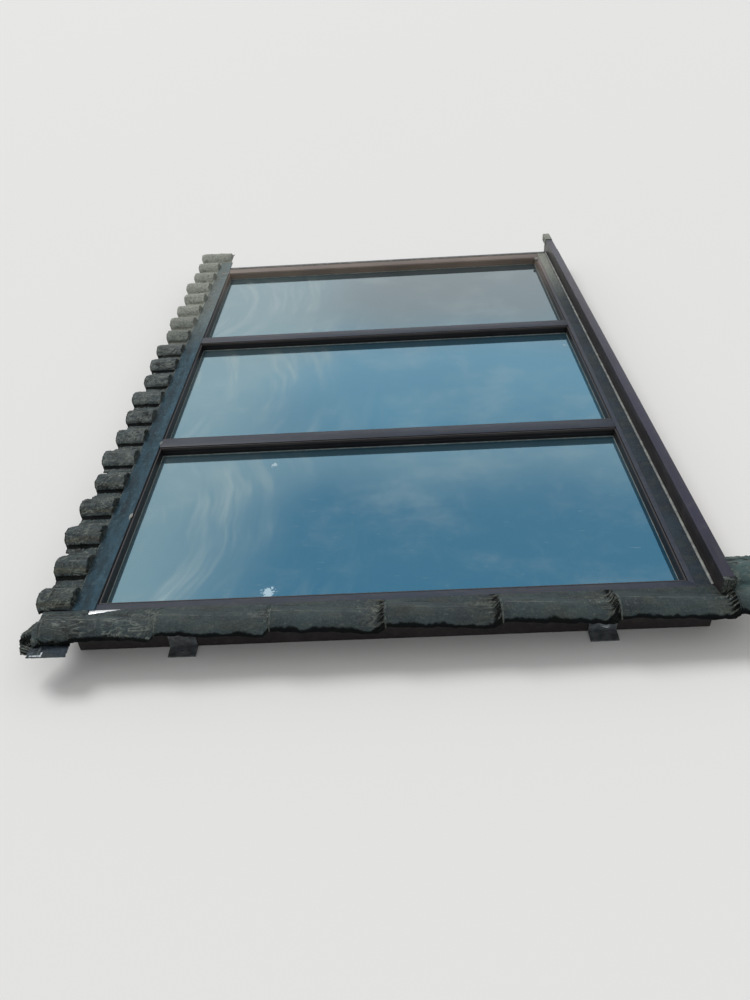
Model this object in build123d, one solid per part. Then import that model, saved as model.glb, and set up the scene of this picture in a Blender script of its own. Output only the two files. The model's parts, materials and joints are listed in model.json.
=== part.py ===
from build123d import *
import math
import os

# Roof skylight: one frame with three fixed insulating panes side by side.
# Millimetres. +X runs up the slope, +Y along the ridge, +Z out of the roof.
# The origin is at the centre of the frame's underside, which is z = 0.

# Openings and main heights
open_slope = 1684.0          # clear top opening of every pane, up the slope
pane_clear = 826.0           # clear top opening of one pane, along the ridge
bar_face = 56.0              # flat top of a glazing bar
pane_count = 3
frame_face = 66.0            # flat top of the perimeter frame
frame_height = 120.0         # underside of the frame to the top of its cover
bar_rise = 3.0               # a bar's top lies this much over the frame's top
bar_end_drop = 7.5           # its ends pass this much under the frame's top

# Glazing unit and what holds it
sight_inset = 9.0            # from the cover's inner edge to the visible glass edge
glass_depth = 33.0           # from the cover's top down to the outer glass face
glass_sheet = 4.0
glass_cavity = 16.0
gasket_height = 3.0
gasket_width = 14.0
glass_bite = 16.0            # how far the bead covers the edge of the glass
glass_edge_gap = 5.0         # from the glass edge to the rebate wall
spacer_width = 13.0
block_length = 100.0
gasket_set_back = 1.0        # of a gasket's edge behind the edge that hides it
fit_gap = 0.3                # between pieces that are pushed together
cut_past = 1.0               # how far a cutting shape reaches past what it cuts

# Profiles of the frame and bars
wall = 3.0
shelf_reach = 12.0           # shelf under the glass, inward of the cover's edge
cover_wall = 2.5
cover_skirt = 20.0
groove_width = 3.0           # dark groove between a cover and its bead
lip_width = 3.0
lip_drop = 2.0
groove_depth = 6.8
bead_step = 9.0              # height of one line on the bead's face
bead_ledge = 0.6
bar_box_width = 60.0
bar_box_depth = 32.0
shelf_thickness = 4.0

# Corner cleats, bar cleats, anchor brackets and screws
cleat_leg = 150.0
bar_cleat_leg = 36.0
bar_cleat_width = 40.0
bar_cleat_wall = 3.0
bracket_x = 600.0
bracket_length = 80.0
bracket_leg = 60.0
bracket_foot = 42.0
bracket_wall = 4.0
anchor_hole_r = 3.5
anchor_hole_reach = 24.0     # from the frame's outer face to the hole
screw_r = 2.4
screw_hole_r = 2.6
screw_length = 14.0
screw_head_r = 4.6
screw_head_height = 2.6
screw_pitch = 44.0
screw_place = 0.62           # a screw's place along its leg, as a share of the leg

# Roof covering that the flashing is dressed over
roll_pitch = 147.5
near_roll_y = -1418.0        # row of the rolls of the tiles, counted from the near side
roll_radius = 50.0
foot_radius = 12.0
roll_rise = 30.0             # crown above valley
crown_over_frame = 24.0      # crown of the rolls above the frame's top
course_gauge = 316.0
first_nose_x = -960.0
course_step = 22.0           # how much each course stands over the one below

# Flashing sheets
lead = 2.5
apron_length = 114.0
apron_length_swing = 9.0
apron_swing_turn = 2.3       # radians that the swing turns from one roll to the next
apron_edge = 1.5             # from the cover's inner edge to the apron
lap_gap = 0.3
near_lead_edge = 26.0        # brown cover left bare beside the near pane
near_flat = 5.4              # flat lead before the foot of the highest rise
near_flank_angle = 60.0
near_arc_share = 0.9         # of the lowest rise beside the jamb, taken by its two arcs
near_start_x = -985.0
near_end_x = 1056.0
gather_count = 2
gather_pitch = 13.0
gather_width = 5.0
gather_rise = 1.6
gather_root = 0.4            # where a gather starts, as a share of the sheet
gather_far_angle = 24.0
tape = 1.5
head_tape_inset = 16.0       # from the cover's inner edge
head_tape_width = 39.0
kerb_rise = 60.0             # folded head flashing above the frame's top
kerb_width = 32.0
kerb_sheet = 1.2
kerb_far_reach = 69.0        # kerb past the frame's far outer face
kerb_flange = 42.0
kerb_skirt = 50.0            # leg of the head flashing down the frame's outer face
cap_length = 62.0
cap_skirt = 34.0
cap_corner_r = 9.0
cap_edge_r = 4.0
near_cap_lap = 12.0          # of the near cap on the kerb's top
near_cap_gap = 1.0           # from its lower edge to the side flashing
soaker_width = 58.0
soaker_depth = 28.0
soaker_sheet = 1.2
soaker_lip = 12.0
mastic_width = 11.0
mastic_height = 5.0
mastic_ridge = [(-0.5, 0.0), (-0.3, 0.8), (0.0, 1.0), (0.15, 0.6)]    # shares of both
mastic_fillet = [(0.0, 0.0), (0.0, 1.6), (-0.45, 1.0), (-1.0, 0.0)]   # shares of both
bare_strip_start = 14.0      # past the inner edge of the apron
bare_strip_length = 92.0
bare_strip_width = 18.0      # at its lower end
bare_strip_tip = 1.5         # at its upper end
bare_strip_sheet = 0.8
corner_reach = 170.0
corner_tail = 62.0           # from the last crown to the edge of its lead
patch_start = -5.0           # from the side flashing's lower end
patch_length = 108.0
patch_width = 44.0
patch_lap = 8.0

# Worked out from the sizes above
half_x = open_slope / 2
pane_pitch = pane_clear + bar_face
half_y = (pane_count * pane_clear + (pane_count - 1) * bar_face) / 2
half_pane = pane_clear / 2
top_z = frame_height
bar_top_z = frame_height + bar_rise
glass_top_z = frame_height - glass_depth
glass_low_z = glass_top_z - 2 * glass_sheet - glass_cavity
shelf_z = glass_low_z - gasket_height
bead_low_z = glass_top_z + gasket_height
glass_edge = glass_bite - sight_inset
rebate = glass_edge + glass_edge_gap
body_face = frame_face - cover_wall - fit_gap
outer_x = half_x + frame_face
outer_y = half_y + frame_face
groove_z = top_z - groove_depth
crown_z = top_z + crown_over_frame
valley_z = crown_z - roll_rise
lead_edge_y = -half_y - near_lead_edge
near_lowest = crown_over_frame - course_step / 2
near_highest = crown_over_frame + course_step / 2
near_arc_rise = near_arc_share * near_lowest
near_turn = math.acos(1 - near_arc_rise / (roll_radius + foot_radius))
near_arc_spread = (roll_radius + foot_radius) * math.sin(near_turn)
near_top_spread = near_arc_spread + (near_highest - near_arc_rise) / math.tan(near_turn)
near_crown_y = lead_edge_y - near_flat - near_top_spread
kerb_near_y = -outer_y
kerb_far_y = outer_y + kerb_far_reach
last_frame_roll = round((outer_y - near_roll_y) / roll_pitch)
pane_centres = [(i - (pane_count - 1) / 2) * pane_pitch for i in range(pane_count)]
bar_centres = [(i - pane_count / 2) * pane_pitch for i in range(1, pane_count)]
pane_names = ["near", "middle", "far"]


def box_between(low, high):
    size = [high[i] - low[i] for i in range(3)]
    middle = [(high[i] + low[i]) / 2 for i in range(3)]
    return Pos(*middle) * Box(*size)


def prism_x(outline, x_low, x_high):
    face = Plane.YZ.offset(x_low) * make_face(Polyline(*outline, close=True))
    return extrude(face, x_high - x_low)


def prism_y(outline, y_low, y_high):
    face = Plane.XZ.offset(-y_high) * make_face(Polyline(*outline, close=True))
    return extrude(face, y_high - y_low)


def ring(half_a, half_b, out, inward, z_low, z_high, centre_y):
    outer = box_between(
        (-half_a - out, centre_y - half_b - out, z_low),
        (half_a + out, centre_y + half_b + out, z_high),
    )
    hole = box_between(
        (-half_a + inward, centre_y - half_b + inward, z_low - cut_past),
        (half_a - inward, centre_y + half_b - inward, z_high + cut_past),
    )
    return outer - hole


def mitred(outlines, side, half_b, centre_y):
    """A straight member of a rectangular frame, cut at 45 degrees at both ends.

    The first outline is the section, the others are its chambers, as (a, z)
    with a measured outwards from the clear opening."""
    reach = [a for a, z in outlines[0]]
    low, high = min(reach), max(reach)
    if side in ("sill", "head"):
        sign = -1 if side == "sill" else 1
        start, run = half_x, half_b + high
        pieces = [
            prism_y([(sign * (start + a), z) for a, z in o], centre_y - run, centre_y + run)
            for o in outlines
        ]
        corners = [
            (sign * (start + low), centre_y - half_b - low),
            (sign * (start + low), centre_y + half_b + low),
            (sign * (start + high), centre_y + half_b + high),
            (sign * (start + high), centre_y - half_b - high),
        ]
    else:
        sign = -1 if side == "near" else 1
        run = half_x + high
        pieces = [
            prism_x([(centre_y + sign * (half_b + a), z) for a, z in o], -run, run)
            for o in outlines
        ]
        corners = [
            (-half_x - low, centre_y + sign * (half_b + low)),
            (half_x + low, centre_y + sign * (half_b + low)),
            (half_x + high, centre_y + sign * (half_b + high)),
            (-half_x - high, centre_y + sign * (half_b + high)),
        ]
    member = pieces[0]
    for chamber in pieces[1:]:
        member -= chamber
    wedge = Plane.XY.offset(-cut_past) * make_face(Polyline(*corners, close=True))
    return member & extrude(wedge, top_z + 2 * cut_past)


def frame_outlines():
    """Hollow frame section: shelf under the glass, rebate wall, two chambers."""
    body_top = top_z - cover_wall
    section = [
        (-shelf_reach, 0),
        (body_face, 0),
        (body_face, body_top),
        (rebate, body_top),
        (rebate, shelf_z),
        (-shelf_reach, shelf_z),
    ]
    low_chamber = [
        (-shelf_reach + wall, wall),
        (body_face - wall, wall),
        (body_face - wall, shelf_z - wall),
        (-shelf_reach + wall, shelf_z - wall),
    ]
    high_chamber = [
        (rebate + wall, shelf_z),
        (body_face - wall, shelf_z),
        (body_face - wall, body_top - wall),
        (rebate + wall, body_top - wall),
    ]
    return [section, low_chamber, high_chamber]


def cover_outline():
    """Clip-on cover: flat top with a skirt outside and a short leg inside."""
    return [
        (0, top_z),
        (frame_face, top_z),
        (frame_face, top_z - cover_skirt),
        (frame_face - cover_wall, top_z - cover_skirt),
        (frame_face - cover_wall, top_z - cover_wall),
        (cover_wall, top_z - cover_wall),
        (cover_wall, groove_z + fit_gap),
        (0, groove_z + fit_gap),
    ]


def bead_outline(cover_z):
    """Glazing bead: a lip beside the cover's groove and a stepped inner face."""
    back = rebate - fit_gap
    lip_z = cover_z - lip_drop
    face = [(-groove_width, groove_z), (-groove_width, lip_z), (-groove_width - lip_width, lip_z)]
    reach = -groove_width - lip_width
    level = lip_z
    while level - bead_step > bead_low_z + bead_step / 2:
        level -= bead_step
        face.append((reach - bead_ledge, level))
        reach -= 2 * bead_ledge
        face.append((reach, level - bead_ledge))
    face.append((-sight_inset, bead_low_z))
    return [(back, bead_low_z), (back, groove_z)] + face


def corner_cleats():
    """Solid angle blocks in the lower chambers, which hold the mitres."""
    low = -shelf_reach + wall + fit_gap
    high = body_face - wall - fit_gap
    cleats = []
    for sx in (-1, 1):
        for sy in (-1, 1):
            x0, x1 = half_x + low, half_x + high
            y0, y1 = half_y + low, half_y + high
            outline = [
                (x1, y1),
                (x1, y1 - cleat_leg),
                (x0, y1 - cleat_leg),
                (x0, y0),
                (x1 - cleat_leg, y0),
                (x1 - cleat_leg, y1),
            ]
            points = [(sx * x, sy * y) for x, y in outline]
            face = Plane.XY.offset(wall + fit_gap) * make_face(Polyline(*points, close=True))
            cleats.append(extrude(face, shelf_z - 2 * wall - 2 * fit_gap))
    return Compound(children=cleats)


def glazing_bar(centre_y):
    """Bar between two panes: hollow box, two shelves and a hollow stem."""
    stem = bar_face / 2 - rebate
    shelf = bar_face / 2 + shelf_reach
    box = bar_box_width / 2
    low_z = shelf_z - bar_box_depth - shelf_thickness
    cap_low = bar_top_z - cover_wall
    lower = [
        (-box, low_z),
        (box, low_z),
        (box, shelf_z - shelf_thickness),
        (shelf, shelf_z - shelf_thickness),
        (shelf, shelf_z),
        (-shelf, shelf_z),
        (-shelf, shelf_z - shelf_thickness),
        (-box, shelf_z - shelf_thickness),
    ]
    chamber = [
        (-box + wall, low_z + wall),
        (box - wall, low_z + wall),
        (box - wall, shelf_z - shelf_thickness),
        (-box + wall, shelf_z - shelf_thickness),
    ]
    upper = [(-stem, shelf_z), (stem, shelf_z), (stem, cap_low), (-stem, cap_low)]
    hollow = [
        (-stem + wall, shelf_z + wall),
        (stem - wall, shelf_z + wall),
        (stem - wall, cap_low - wall),
        (-stem + wall, cap_low - wall),
    ]
    inner = half_x - shelf_reach
    long = half_x + rebate
    bar = prism_x(lower, -inner, inner) - prism_x(chamber, -inner - cut_past, inner + cut_past)
    bar += prism_x(upper, -long, long)
    bar -= prism_x(hollow, -long - cut_past, long + cut_past)
    end_low = (half_x - fit_gap, -stem - cut_past, top_z - bar_end_drop)
    end_high = (long + cut_past, stem + cut_past, bar_top_z)
    end = box_between(end_low, end_high)
    bar -= end
    bar -= mirror(end, about=Plane.YZ)
    return Pos(0, centre_y, 0) * bar


def bar_cap(centre_y):
    """Flat cover of a bar, with a short leg down each side."""
    edge = bar_face / 2
    leg_z = groove_z + fit_gap
    low = bar_top_z - cover_wall
    section = [
        (-edge, bar_top_z),
        (edge, bar_top_z),
        (edge, leg_z),
        (edge - cover_wall, leg_z),
        (edge - cover_wall, low),
        (-edge + cover_wall, low),
        (-edge + cover_wall, leg_z),
        (-edge, leg_z),
    ]
    return Pos(0, centre_y, 0) * prism_x(section, -half_x, half_x)


def setting_blocks():
    """Two packers under the lower edge of each glazing unit."""
    low_x = -half_x - rebate + fit_gap / 2
    high_x = -half_x - glass_edge - fit_gap / 2
    blocks = []
    for centre in pane_centres:
        for side in (-1, 1):
            y = centre + side * half_pane / 2
            blocks.append(
                box_between(
                    (low_x, y - block_length / 2, glass_low_z + fit_gap),
                    (high_x, y + block_length / 2, glass_top_z - fit_gap),
                )
            )
    return Compound(children=blocks)


def screw(length):
    """Hexagon-head screw along +Z, with the underside of its head at the origin."""
    shank = Pos(0, 0, -length / 2) * Cylinder(screw_r, length)
    return shank + extrude(RegularPolygon(screw_head_r, 6), screw_head_height)


def bracket_screw_places():
    face = half_y + body_face + bracket_wall
    places = []
    for sy in (-1, 1):
        for sx in (-1, 1):
            for step in (-1, 1):
                x = sx * bracket_x + step * screw_pitch / 2
                turn = Rot(-90 * sy, 0, 0)
                places.append(Pos(x, sy * face, bracket_leg * screw_place) * turn)
    return places


def cleat_screw_places():
    """Screws of the bar cleats: one into the frame, one up into the bar."""
    inner = half_x - shelf_reach
    low_z = shelf_z - bar_box_depth - shelf_thickness
    places = []
    for y in bar_centres:
        for sx in (-1, 1):
            x = sx * (inner - bar_cleat_wall)
            places.append(Pos(x, y, low_z / 2) * Rot(0, -90 * sx, 0))
            x = sx * (inner - bar_cleat_leg * screw_place)
            places.append(Pos(x, y, low_z - bar_cleat_wall) * Rot(180, 0, 0))
    return places


def drill(solid, places):
    for place in places:
        solid -= place * Cylinder(screw_hole_r, 2 * screw_length)
    return solid


def anchor_brackets():
    """Steel angles on the jambs, which screw the frame to the rafters."""
    brackets = []
    for sy in (-1, 1):
        face = half_y + body_face
        outline = [
            (face, 0),
            (face + bracket_foot, 0),
            (face + bracket_foot, bracket_wall),
            (face + bracket_wall, bracket_wall),
            (face + bracket_wall, bracket_leg),
            (face, bracket_leg),
        ]
        for sx in (-1, 1):
            x = sx * bracket_x
            points = [(sy * y, z) for y, z in outline]
            angle = prism_x(points, x - bracket_length / 2, x + bracket_length / 2)
            hole_y = sy * (face + anchor_hole_reach)
            angle -= Pos(x, hole_y, 0) * Cylinder(anchor_hole_r, 4 * bracket_wall)
            brackets.append(drill(angle, bracket_screw_places()))
    return Compound(children=brackets)


def bar_cleats():
    """Small angles that carry the bars' ends on the frame's inner faces."""
    inner = half_x - shelf_reach
    low_z = shelf_z - bar_box_depth - shelf_thickness
    cleats = []
    for y in bar_centres:
        for sx in (-1, 1):
            outline = [
                (inner, wall),
                (inner, low_z),
                (inner - bar_cleat_leg, low_z),
                (inner - bar_cleat_leg, low_z - bar_cleat_wall),
                (inner - bar_cleat_wall, low_z - bar_cleat_wall),
                (inner - bar_cleat_wall, wall),
            ]
            points = [(sx * x, z) for x, z in outline]
            half = bar_cleat_width / 2
            cleats.append(drill(prism_y(points, y - half, y + half), cleat_screw_places()))
    return Compound(children=cleats)


def fixing_screws():
    places = bracket_screw_places() + cleat_screw_places()
    return Compound(children=[place * screw(screw_length) for place in places])


def roll_curve(centre, crown, valley, lift, edge_low, edge_high):
    """Upper outline of a valley, a roll and a valley, as arcs and straights.

    lift raises the whole outline square to itself, by the sheet's thickness."""
    rise = crown - valley
    top_r = roll_radius + lift
    foot_r = foot_radius - lift
    spread = math.sqrt(rise * (2 * (roll_radius + foot_radius) - rise))
    turn = math.atan2(spread, roll_radius + foot_radius - rise)
    top_c = (centre, crown - roll_radius)
    low = valley + lift

    def on_top(angle):
        return (top_c[0] + top_r * math.sin(angle), top_c[1] + top_r * math.cos(angle))

    def on_foot(side, angle):
        x = centre + side * spread - side * foot_r * math.sin(angle)
        return (x, valley + foot_radius - foot_r * math.cos(angle))

    return [
        Line((edge_low, low), on_foot(-1, 0)),
        ThreePointArc(on_foot(-1, 0), on_foot(-1, turn / 2), on_top(-turn)),
        ThreePointArc(on_top(-turn), on_top(0), on_top(turn)),
        ThreePointArc(on_top(turn), on_foot(1, turn / 2), on_foot(1, 0)),
        Line(on_foot(1, 0), (edge_high, low)),
    ]


def roll_sheet(centre, low_y, high_y, x_low, x_high, filled):
    """One roll of dressed sheet with its valleys, or a filled plate of its shape."""
    upper = roll_curve(centre, crown_z, valley_z, lead, low_y, high_y)
    if filled:
        lower = [Line((low_y, valley_z), (high_y, valley_z))]
    else:
        lower = roll_curve(centre, crown_z, valley_z, 0, low_y, high_y)
    ends = [
        Line((low_y, valley_z), (low_y, valley_z + lead)),
        Line((high_y, valley_z), (high_y, valley_z + lead)),
    ]
    face = Plane.YZ.offset(x_low) * make_face(upper + lower + ends)
    return extrude(face, x_high - x_low)


def apron(first_roll, rolls):
    """A length of the lower apron: strip on the sill, then sheet over the rolls."""
    pitch = roll_pitch
    low_y = near_roll_y + (first_roll - 0.5) * pitch
    high_y = low_y + rolls * pitch - lap_gap
    sheet = box_between((-outer_x, low_y, top_z), (-half_x - apron_edge, high_y, top_z + lead))
    for i in range(first_roll, first_roll + rolls):
        centre = near_roll_y + i * pitch
        left = centre - pitch / 2
        right = min(centre + pitch / 2, high_y)
        reach = apron_length + apron_length_swing * math.sin(apron_swing_turn * i)
        edge = -outer_x - lead
        sheet += roll_sheet(centre, left, right, -outer_x - reach, edge, False)
        sheet += roll_sheet(centre, left, right, edge, -outer_x, True)
    side_flashing = box_between(
        (-outer_x - 2 * apron_length, near_roll_y - roll_pitch, valley_z - cut_past),
        (-half_x, lead_edge_y + lap_gap, crown_z + 2 * lead),
    )
    return sheet - side_flashing


def apron_ends():
    """Last roll under each length of apron: the laps lie beside the bars."""
    ends = [round((y - near_roll_y) / roll_pitch - 0.5) for y in bar_centres]
    return ends + [last_frame_roll]


def side_curve(height, lift):
    """Near flashing outline: flat on the jamb, up, over the crown, down a flank.

    The arcs turn by the same angles at every height, and the slope between them
    takes up the difference, so that a course is ruled without a twist."""
    top_r = roll_radius + lift
    foot_r = foot_radius - lift
    turn = near_turn
    spread = near_arc_spread + (height - near_arc_rise) / math.tan(turn)
    top_c = (near_crown_y, top_z + height - roll_radius)
    flank = math.radians(near_flank_angle)

    def on_top(angle):
        return (top_c[0] + top_r * math.sin(angle), top_c[1] + top_r * math.cos(angle))

    def on_foot(angle):
        y = near_crown_y + spread - foot_r * math.sin(angle)
        return (y, top_z + foot_radius - foot_r * math.cos(angle))

    start = (lead_edge_y, top_z + lift)
    half_turn = (turn - flank) / 2
    return [
        Line(start, on_foot(0)),
        ThreePointArc(on_foot(0), on_foot(turn / 2), on_foot(turn)),
        Line(on_foot(turn), on_top(turn)),
        ThreePointArc(on_top(turn), on_top(half_turn), on_top(-flank)),
    ], start, on_top(-flank)


def side_face(x, upper_height, lower_height, lift):
    upper, start_high, end_high = side_curve(upper_height, lift)
    lower, start_low, end_low = side_curve(lower_height, 0)
    ends = [Line(start_low, start_high), Line(end_low, end_high)]
    return Plane.YZ.offset(x) * make_face(upper + lower + ends)


def gather(x, height):
    """A pinched fold of the side flashing, from its flank over the crown."""
    axis_z = top_z + height - roll_radius
    low_r = roll_radius + lead * gather_root
    high_r = roll_radius + lead + gather_rise
    half = gather_width / 2
    outline = [(x - half, axis_z + low_r), (x, axis_z + high_r), (x + half, axis_z + low_r)]
    face = Plane.XZ.offset(-near_crown_y) * make_face(Polyline(*outline, close=True))
    axis = Axis((0, near_crown_y, axis_z), (1, 0, 0))
    return revolve(face.rotate(axis, -gather_far_angle), axis, near_flank_angle + gather_far_angle)


def course_noses():
    """Places along the near jamb where the flashing steps up."""
    noses = []
    x = first_nose_x
    while x < near_end_x - course_step:
        noses.append(x)
        x += course_gauge
    return noses


def flashing_top(x, y):
    """Upper face of the side flashing, on the frame's side of its crown."""
    share = (x - first_nose_x) / course_gauge
    rise = near_highest - (share - math.floor(share)) * course_step
    spread = near_arc_spread + (rise - near_arc_rise) / math.tan(near_turn)
    foot_r = foot_radius - lead
    along = near_crown_y + spread - y
    if along <= 0:
        return top_z + lead
    if along < foot_r * math.sin(near_turn):
        return top_z + foot_radius - math.sqrt(foot_r ** 2 - along ** 2)
    slope = (along - foot_r * math.sin(near_turn)) * math.tan(near_turn)
    return top_z + min(foot_radius - foot_r * math.cos(near_turn) + slope, rise + lead)


def near_side_flashing():
    """Flashing along the near jamb, dressed over one roll and its stepped courses."""
    tall = near_highest
    low = near_lowest
    noses = course_noses()
    sheet = extrude(side_face(near_start_x, low, low, lead), first_nose_x - near_start_x)
    for nose in noses:
        end = min(nose + course_gauge, near_end_x)
        share = (end - nose) / course_gauge
        end_height = tall - share * course_step
        faces = [side_face(nose, tall, tall, lead), side_face(end, end_height, end_height, lead)]
        sheet += loft(faces, ruled=True)
        sheet += extrude(side_face(nose - lead, tall, low, lead), lead)
        for i in range(1, gather_count + 1):
            mid = nose - lead - i * gather_pitch
            height = low + (nose - mid) / course_gauge * course_step
            if nose > first_nose_x:
                sheet += gather(mid, height)
    beside_kerb = box_between(
        (outer_x - fit_gap, kerb_near_y - fit_gap, top_z - cut_past),
        (near_end_x + cut_past, lead_edge_y + cut_past, top_z + roll_radius),
    )
    over_strip = bare_strip_plate(fit_gap, top_z - cut_past, roll_radius)
    return sheet - beside_kerb - over_strip


def folded(points, thickness):
    """Outline of a sheet bent along square corners, thickness to its left."""
    count = len(points)
    shifted = []
    for i in range(count):
        before = points[max(i - 1, 0)]
        after = points[min(i + 1, count - 1)]
        here = points[i]
        normals = []
        for a, b in ((before, here), (here, after)):
            length = math.hypot(b[0] - a[0], b[1] - a[1])
            if length > 0:
                normals.append(((a[1] - b[1]) / length, (b[0] - a[0]) / length))
        if len(normals) == 2 and normals[0] != normals[1]:
            shift = (normals[0][0] + normals[1][0], normals[0][1] + normals[1][1])
        else:
            shift = normals[0]
        shifted.append((here[0] + shift[0] * thickness, here[1] + shift[1] * thickness))
    return points + shifted[::-1]


def head_flashing():
    """Folded sheet on the upslope side: leg, raised kerb and a flange under the tiles."""
    inside = outer_x + kerb_sheet
    outside = outer_x + kerb_width - kerb_sheet
    high = top_z + kerb_rise - kerb_sheet
    flange_z = valley_z - kerb_sheet - fit_gap
    path = [
        (inside, top_z - kerb_skirt),
        (inside, high),
        (outside, high),
        (outside, flange_z),
        (outer_x + kerb_width + kerb_flange, flange_z),
    ]
    return prism_y(folded(path, kerb_sheet), kerb_near_y, kerb_far_y)


def head_batten():
    """Wood strip that the kerb is folded over."""
    return box_between(
        (outer_x + kerb_sheet + fit_gap, kerb_near_y, top_z - kerb_skirt),
        (outer_x + kerb_width - kerb_sheet - fit_gap, kerb_far_y,
         top_z + kerb_rise - kerb_sheet - fit_gap),
    )


def head_end_cap():
    """Lead cap dressed over the far end of the kerb."""
    x0, x1 = outer_x - lead, outer_x + kerb_width + lead
    high = top_z + kerb_rise + lead
    y0, y1 = kerb_far_y - cap_length / 2, kerb_far_y + cap_length
    shell = box_between((x0, y0, high - cap_skirt), (x1, y1, high))
    shell = fillet(shell.edges().filter_by(Axis.Z).group_by(Axis.Y)[-1], cap_corner_r)
    shell = fillet(shell.faces().sort_by(Axis.Z)[-1].edges().group_by(Axis.Y)[-1], cap_edge_r)
    hollow = box_between(
        (x0 + lead - fit_gap / 3, y0 - cut_past, high - cap_skirt - cut_past),
        (x1 - lead + fit_gap / 3, y1 - lead, high - lead + fit_gap / 3),
    )
    return shell - hollow


def head_near_cap():
    """Lead folded over the near end of the kerb, down to the side flashing."""
    x0, x1 = outer_x - lead, outer_x + kerb_width + lead
    y = kerb_near_y - fit_gap / 3
    high = top_z + kerb_rise + fit_gap / 3 + lead
    step = lead + near_cap_gap
    starts = [x0] + [nose - step for nose in course_noses() if x0 < nose - step < x1]
    cap = box_between((x0, y, high - lead), (x1, y + near_cap_lap, high))
    for start, end in zip(starts, starts[1:] + [x1]):
        edge = flashing_top(start + step, y - lead) + near_cap_gap
        cap += box_between((start, y - lead, edge), (end, y, high))
    return cap


def far_soaker():
    """Channel along the far jamb, with a leg up the frame and a turned edge."""
    start = outer_y + soaker_sheet
    floor = top_z - soaker_depth
    path = [
        (start, top_z - fit_gap),
        (start, floor),
        (start + soaker_width, floor),
        (start + soaker_width, floor + soaker_lip),
        (start + soaker_width - soaker_lip, floor + soaker_lip),
    ]
    outline = folded(path[::-1], soaker_sheet)
    return prism_x(outline, -outer_x, outer_x)


def mastic_far():
    """Bead of mastic over the joint between the frame and the channel."""
    middle = outer_y + soaker_sheet / 2
    outline = [(middle + a * mastic_width, top_z + b * mastic_height) for a, b in mastic_ridge]
    outline.append((middle + soaker_sheet, top_z))
    return prism_x(outline, -half_x - apron_edge + fit_gap, outer_x - mastic_width - fit_gap)


def mastic_head():
    """Fillet of mastic in the corner between the frame and the kerb."""
    outline = [(outer_x + a * mastic_width, top_z + b * mastic_height) for a, b in mastic_fillet]
    return prism_y(outline, lead_edge_y + fit_gap, outer_y)


def head_tape():
    low_x = half_x + head_tape_inset
    return box_between(
        (low_x, lead_edge_y + fit_gap, top_z),
        (low_x + head_tape_width - fit_gap, outer_y - mastic_width, top_z + tape),
    )


def bare_strip_plate(around, low_z, height):
    """Long wedge beside the side flashing's edge, larger by around on its open sides."""
    x = -half_x - apron_edge + fit_gap - bare_strip_start - around
    end = x + bare_strip_length + 2 * around
    outline = [
        (x, lead_edge_y - bare_strip_width - around),
        (end, lead_edge_y - bare_strip_tip - around),
        (end, lead_edge_y + around),
        (x, lead_edge_y + around),
    ]
    return extrude(Plane.XY.offset(low_z) * make_face(Polyline(*outline, close=True)), height)


def bare_strip():
    """Bright strip at the near lower corner, in a notch of the side flashing."""
    return bare_strip_plate(0, top_z, bare_strip_sheet)


def far_corner_lead():
    """Lead over the roll beyond the far lower corner of the frame."""
    centre = near_roll_y + (last_frame_roll + 1) * roll_pitch
    low_y = centre - roll_pitch / 2
    high_y = centre + corner_tail
    x_low = -outer_x - apron_length
    return roll_sheet(centre, low_y, high_y, x_low, x_low + corner_reach, False)


def head_corner_lead():
    """Lead over the first roll beside the kerb's near end."""
    centre = near_roll_y + roll_pitch
    low_y = kerb_near_y + fit_gap
    high_y = centre + roll_pitch / 2
    x_low = outer_x + kerb_width + fit_gap
    return roll_sheet(centre, low_y, high_y, x_low, near_end_x, False)


def corner_patch():
    """Small piece of tape laid in the valley before the near corner."""
    flank = math.radians(near_flank_angle)
    drop = roll_radius * (1 - math.cos(flank))
    y = near_crown_y - roll_radius * math.sin(flank)
    z = top_z + near_lowest - drop - fit_gap - tape
    x = near_start_x + patch_start
    return box_between((x, y - patch_width, z), (x + patch_length, y + patch_lap, z + tape))


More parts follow.
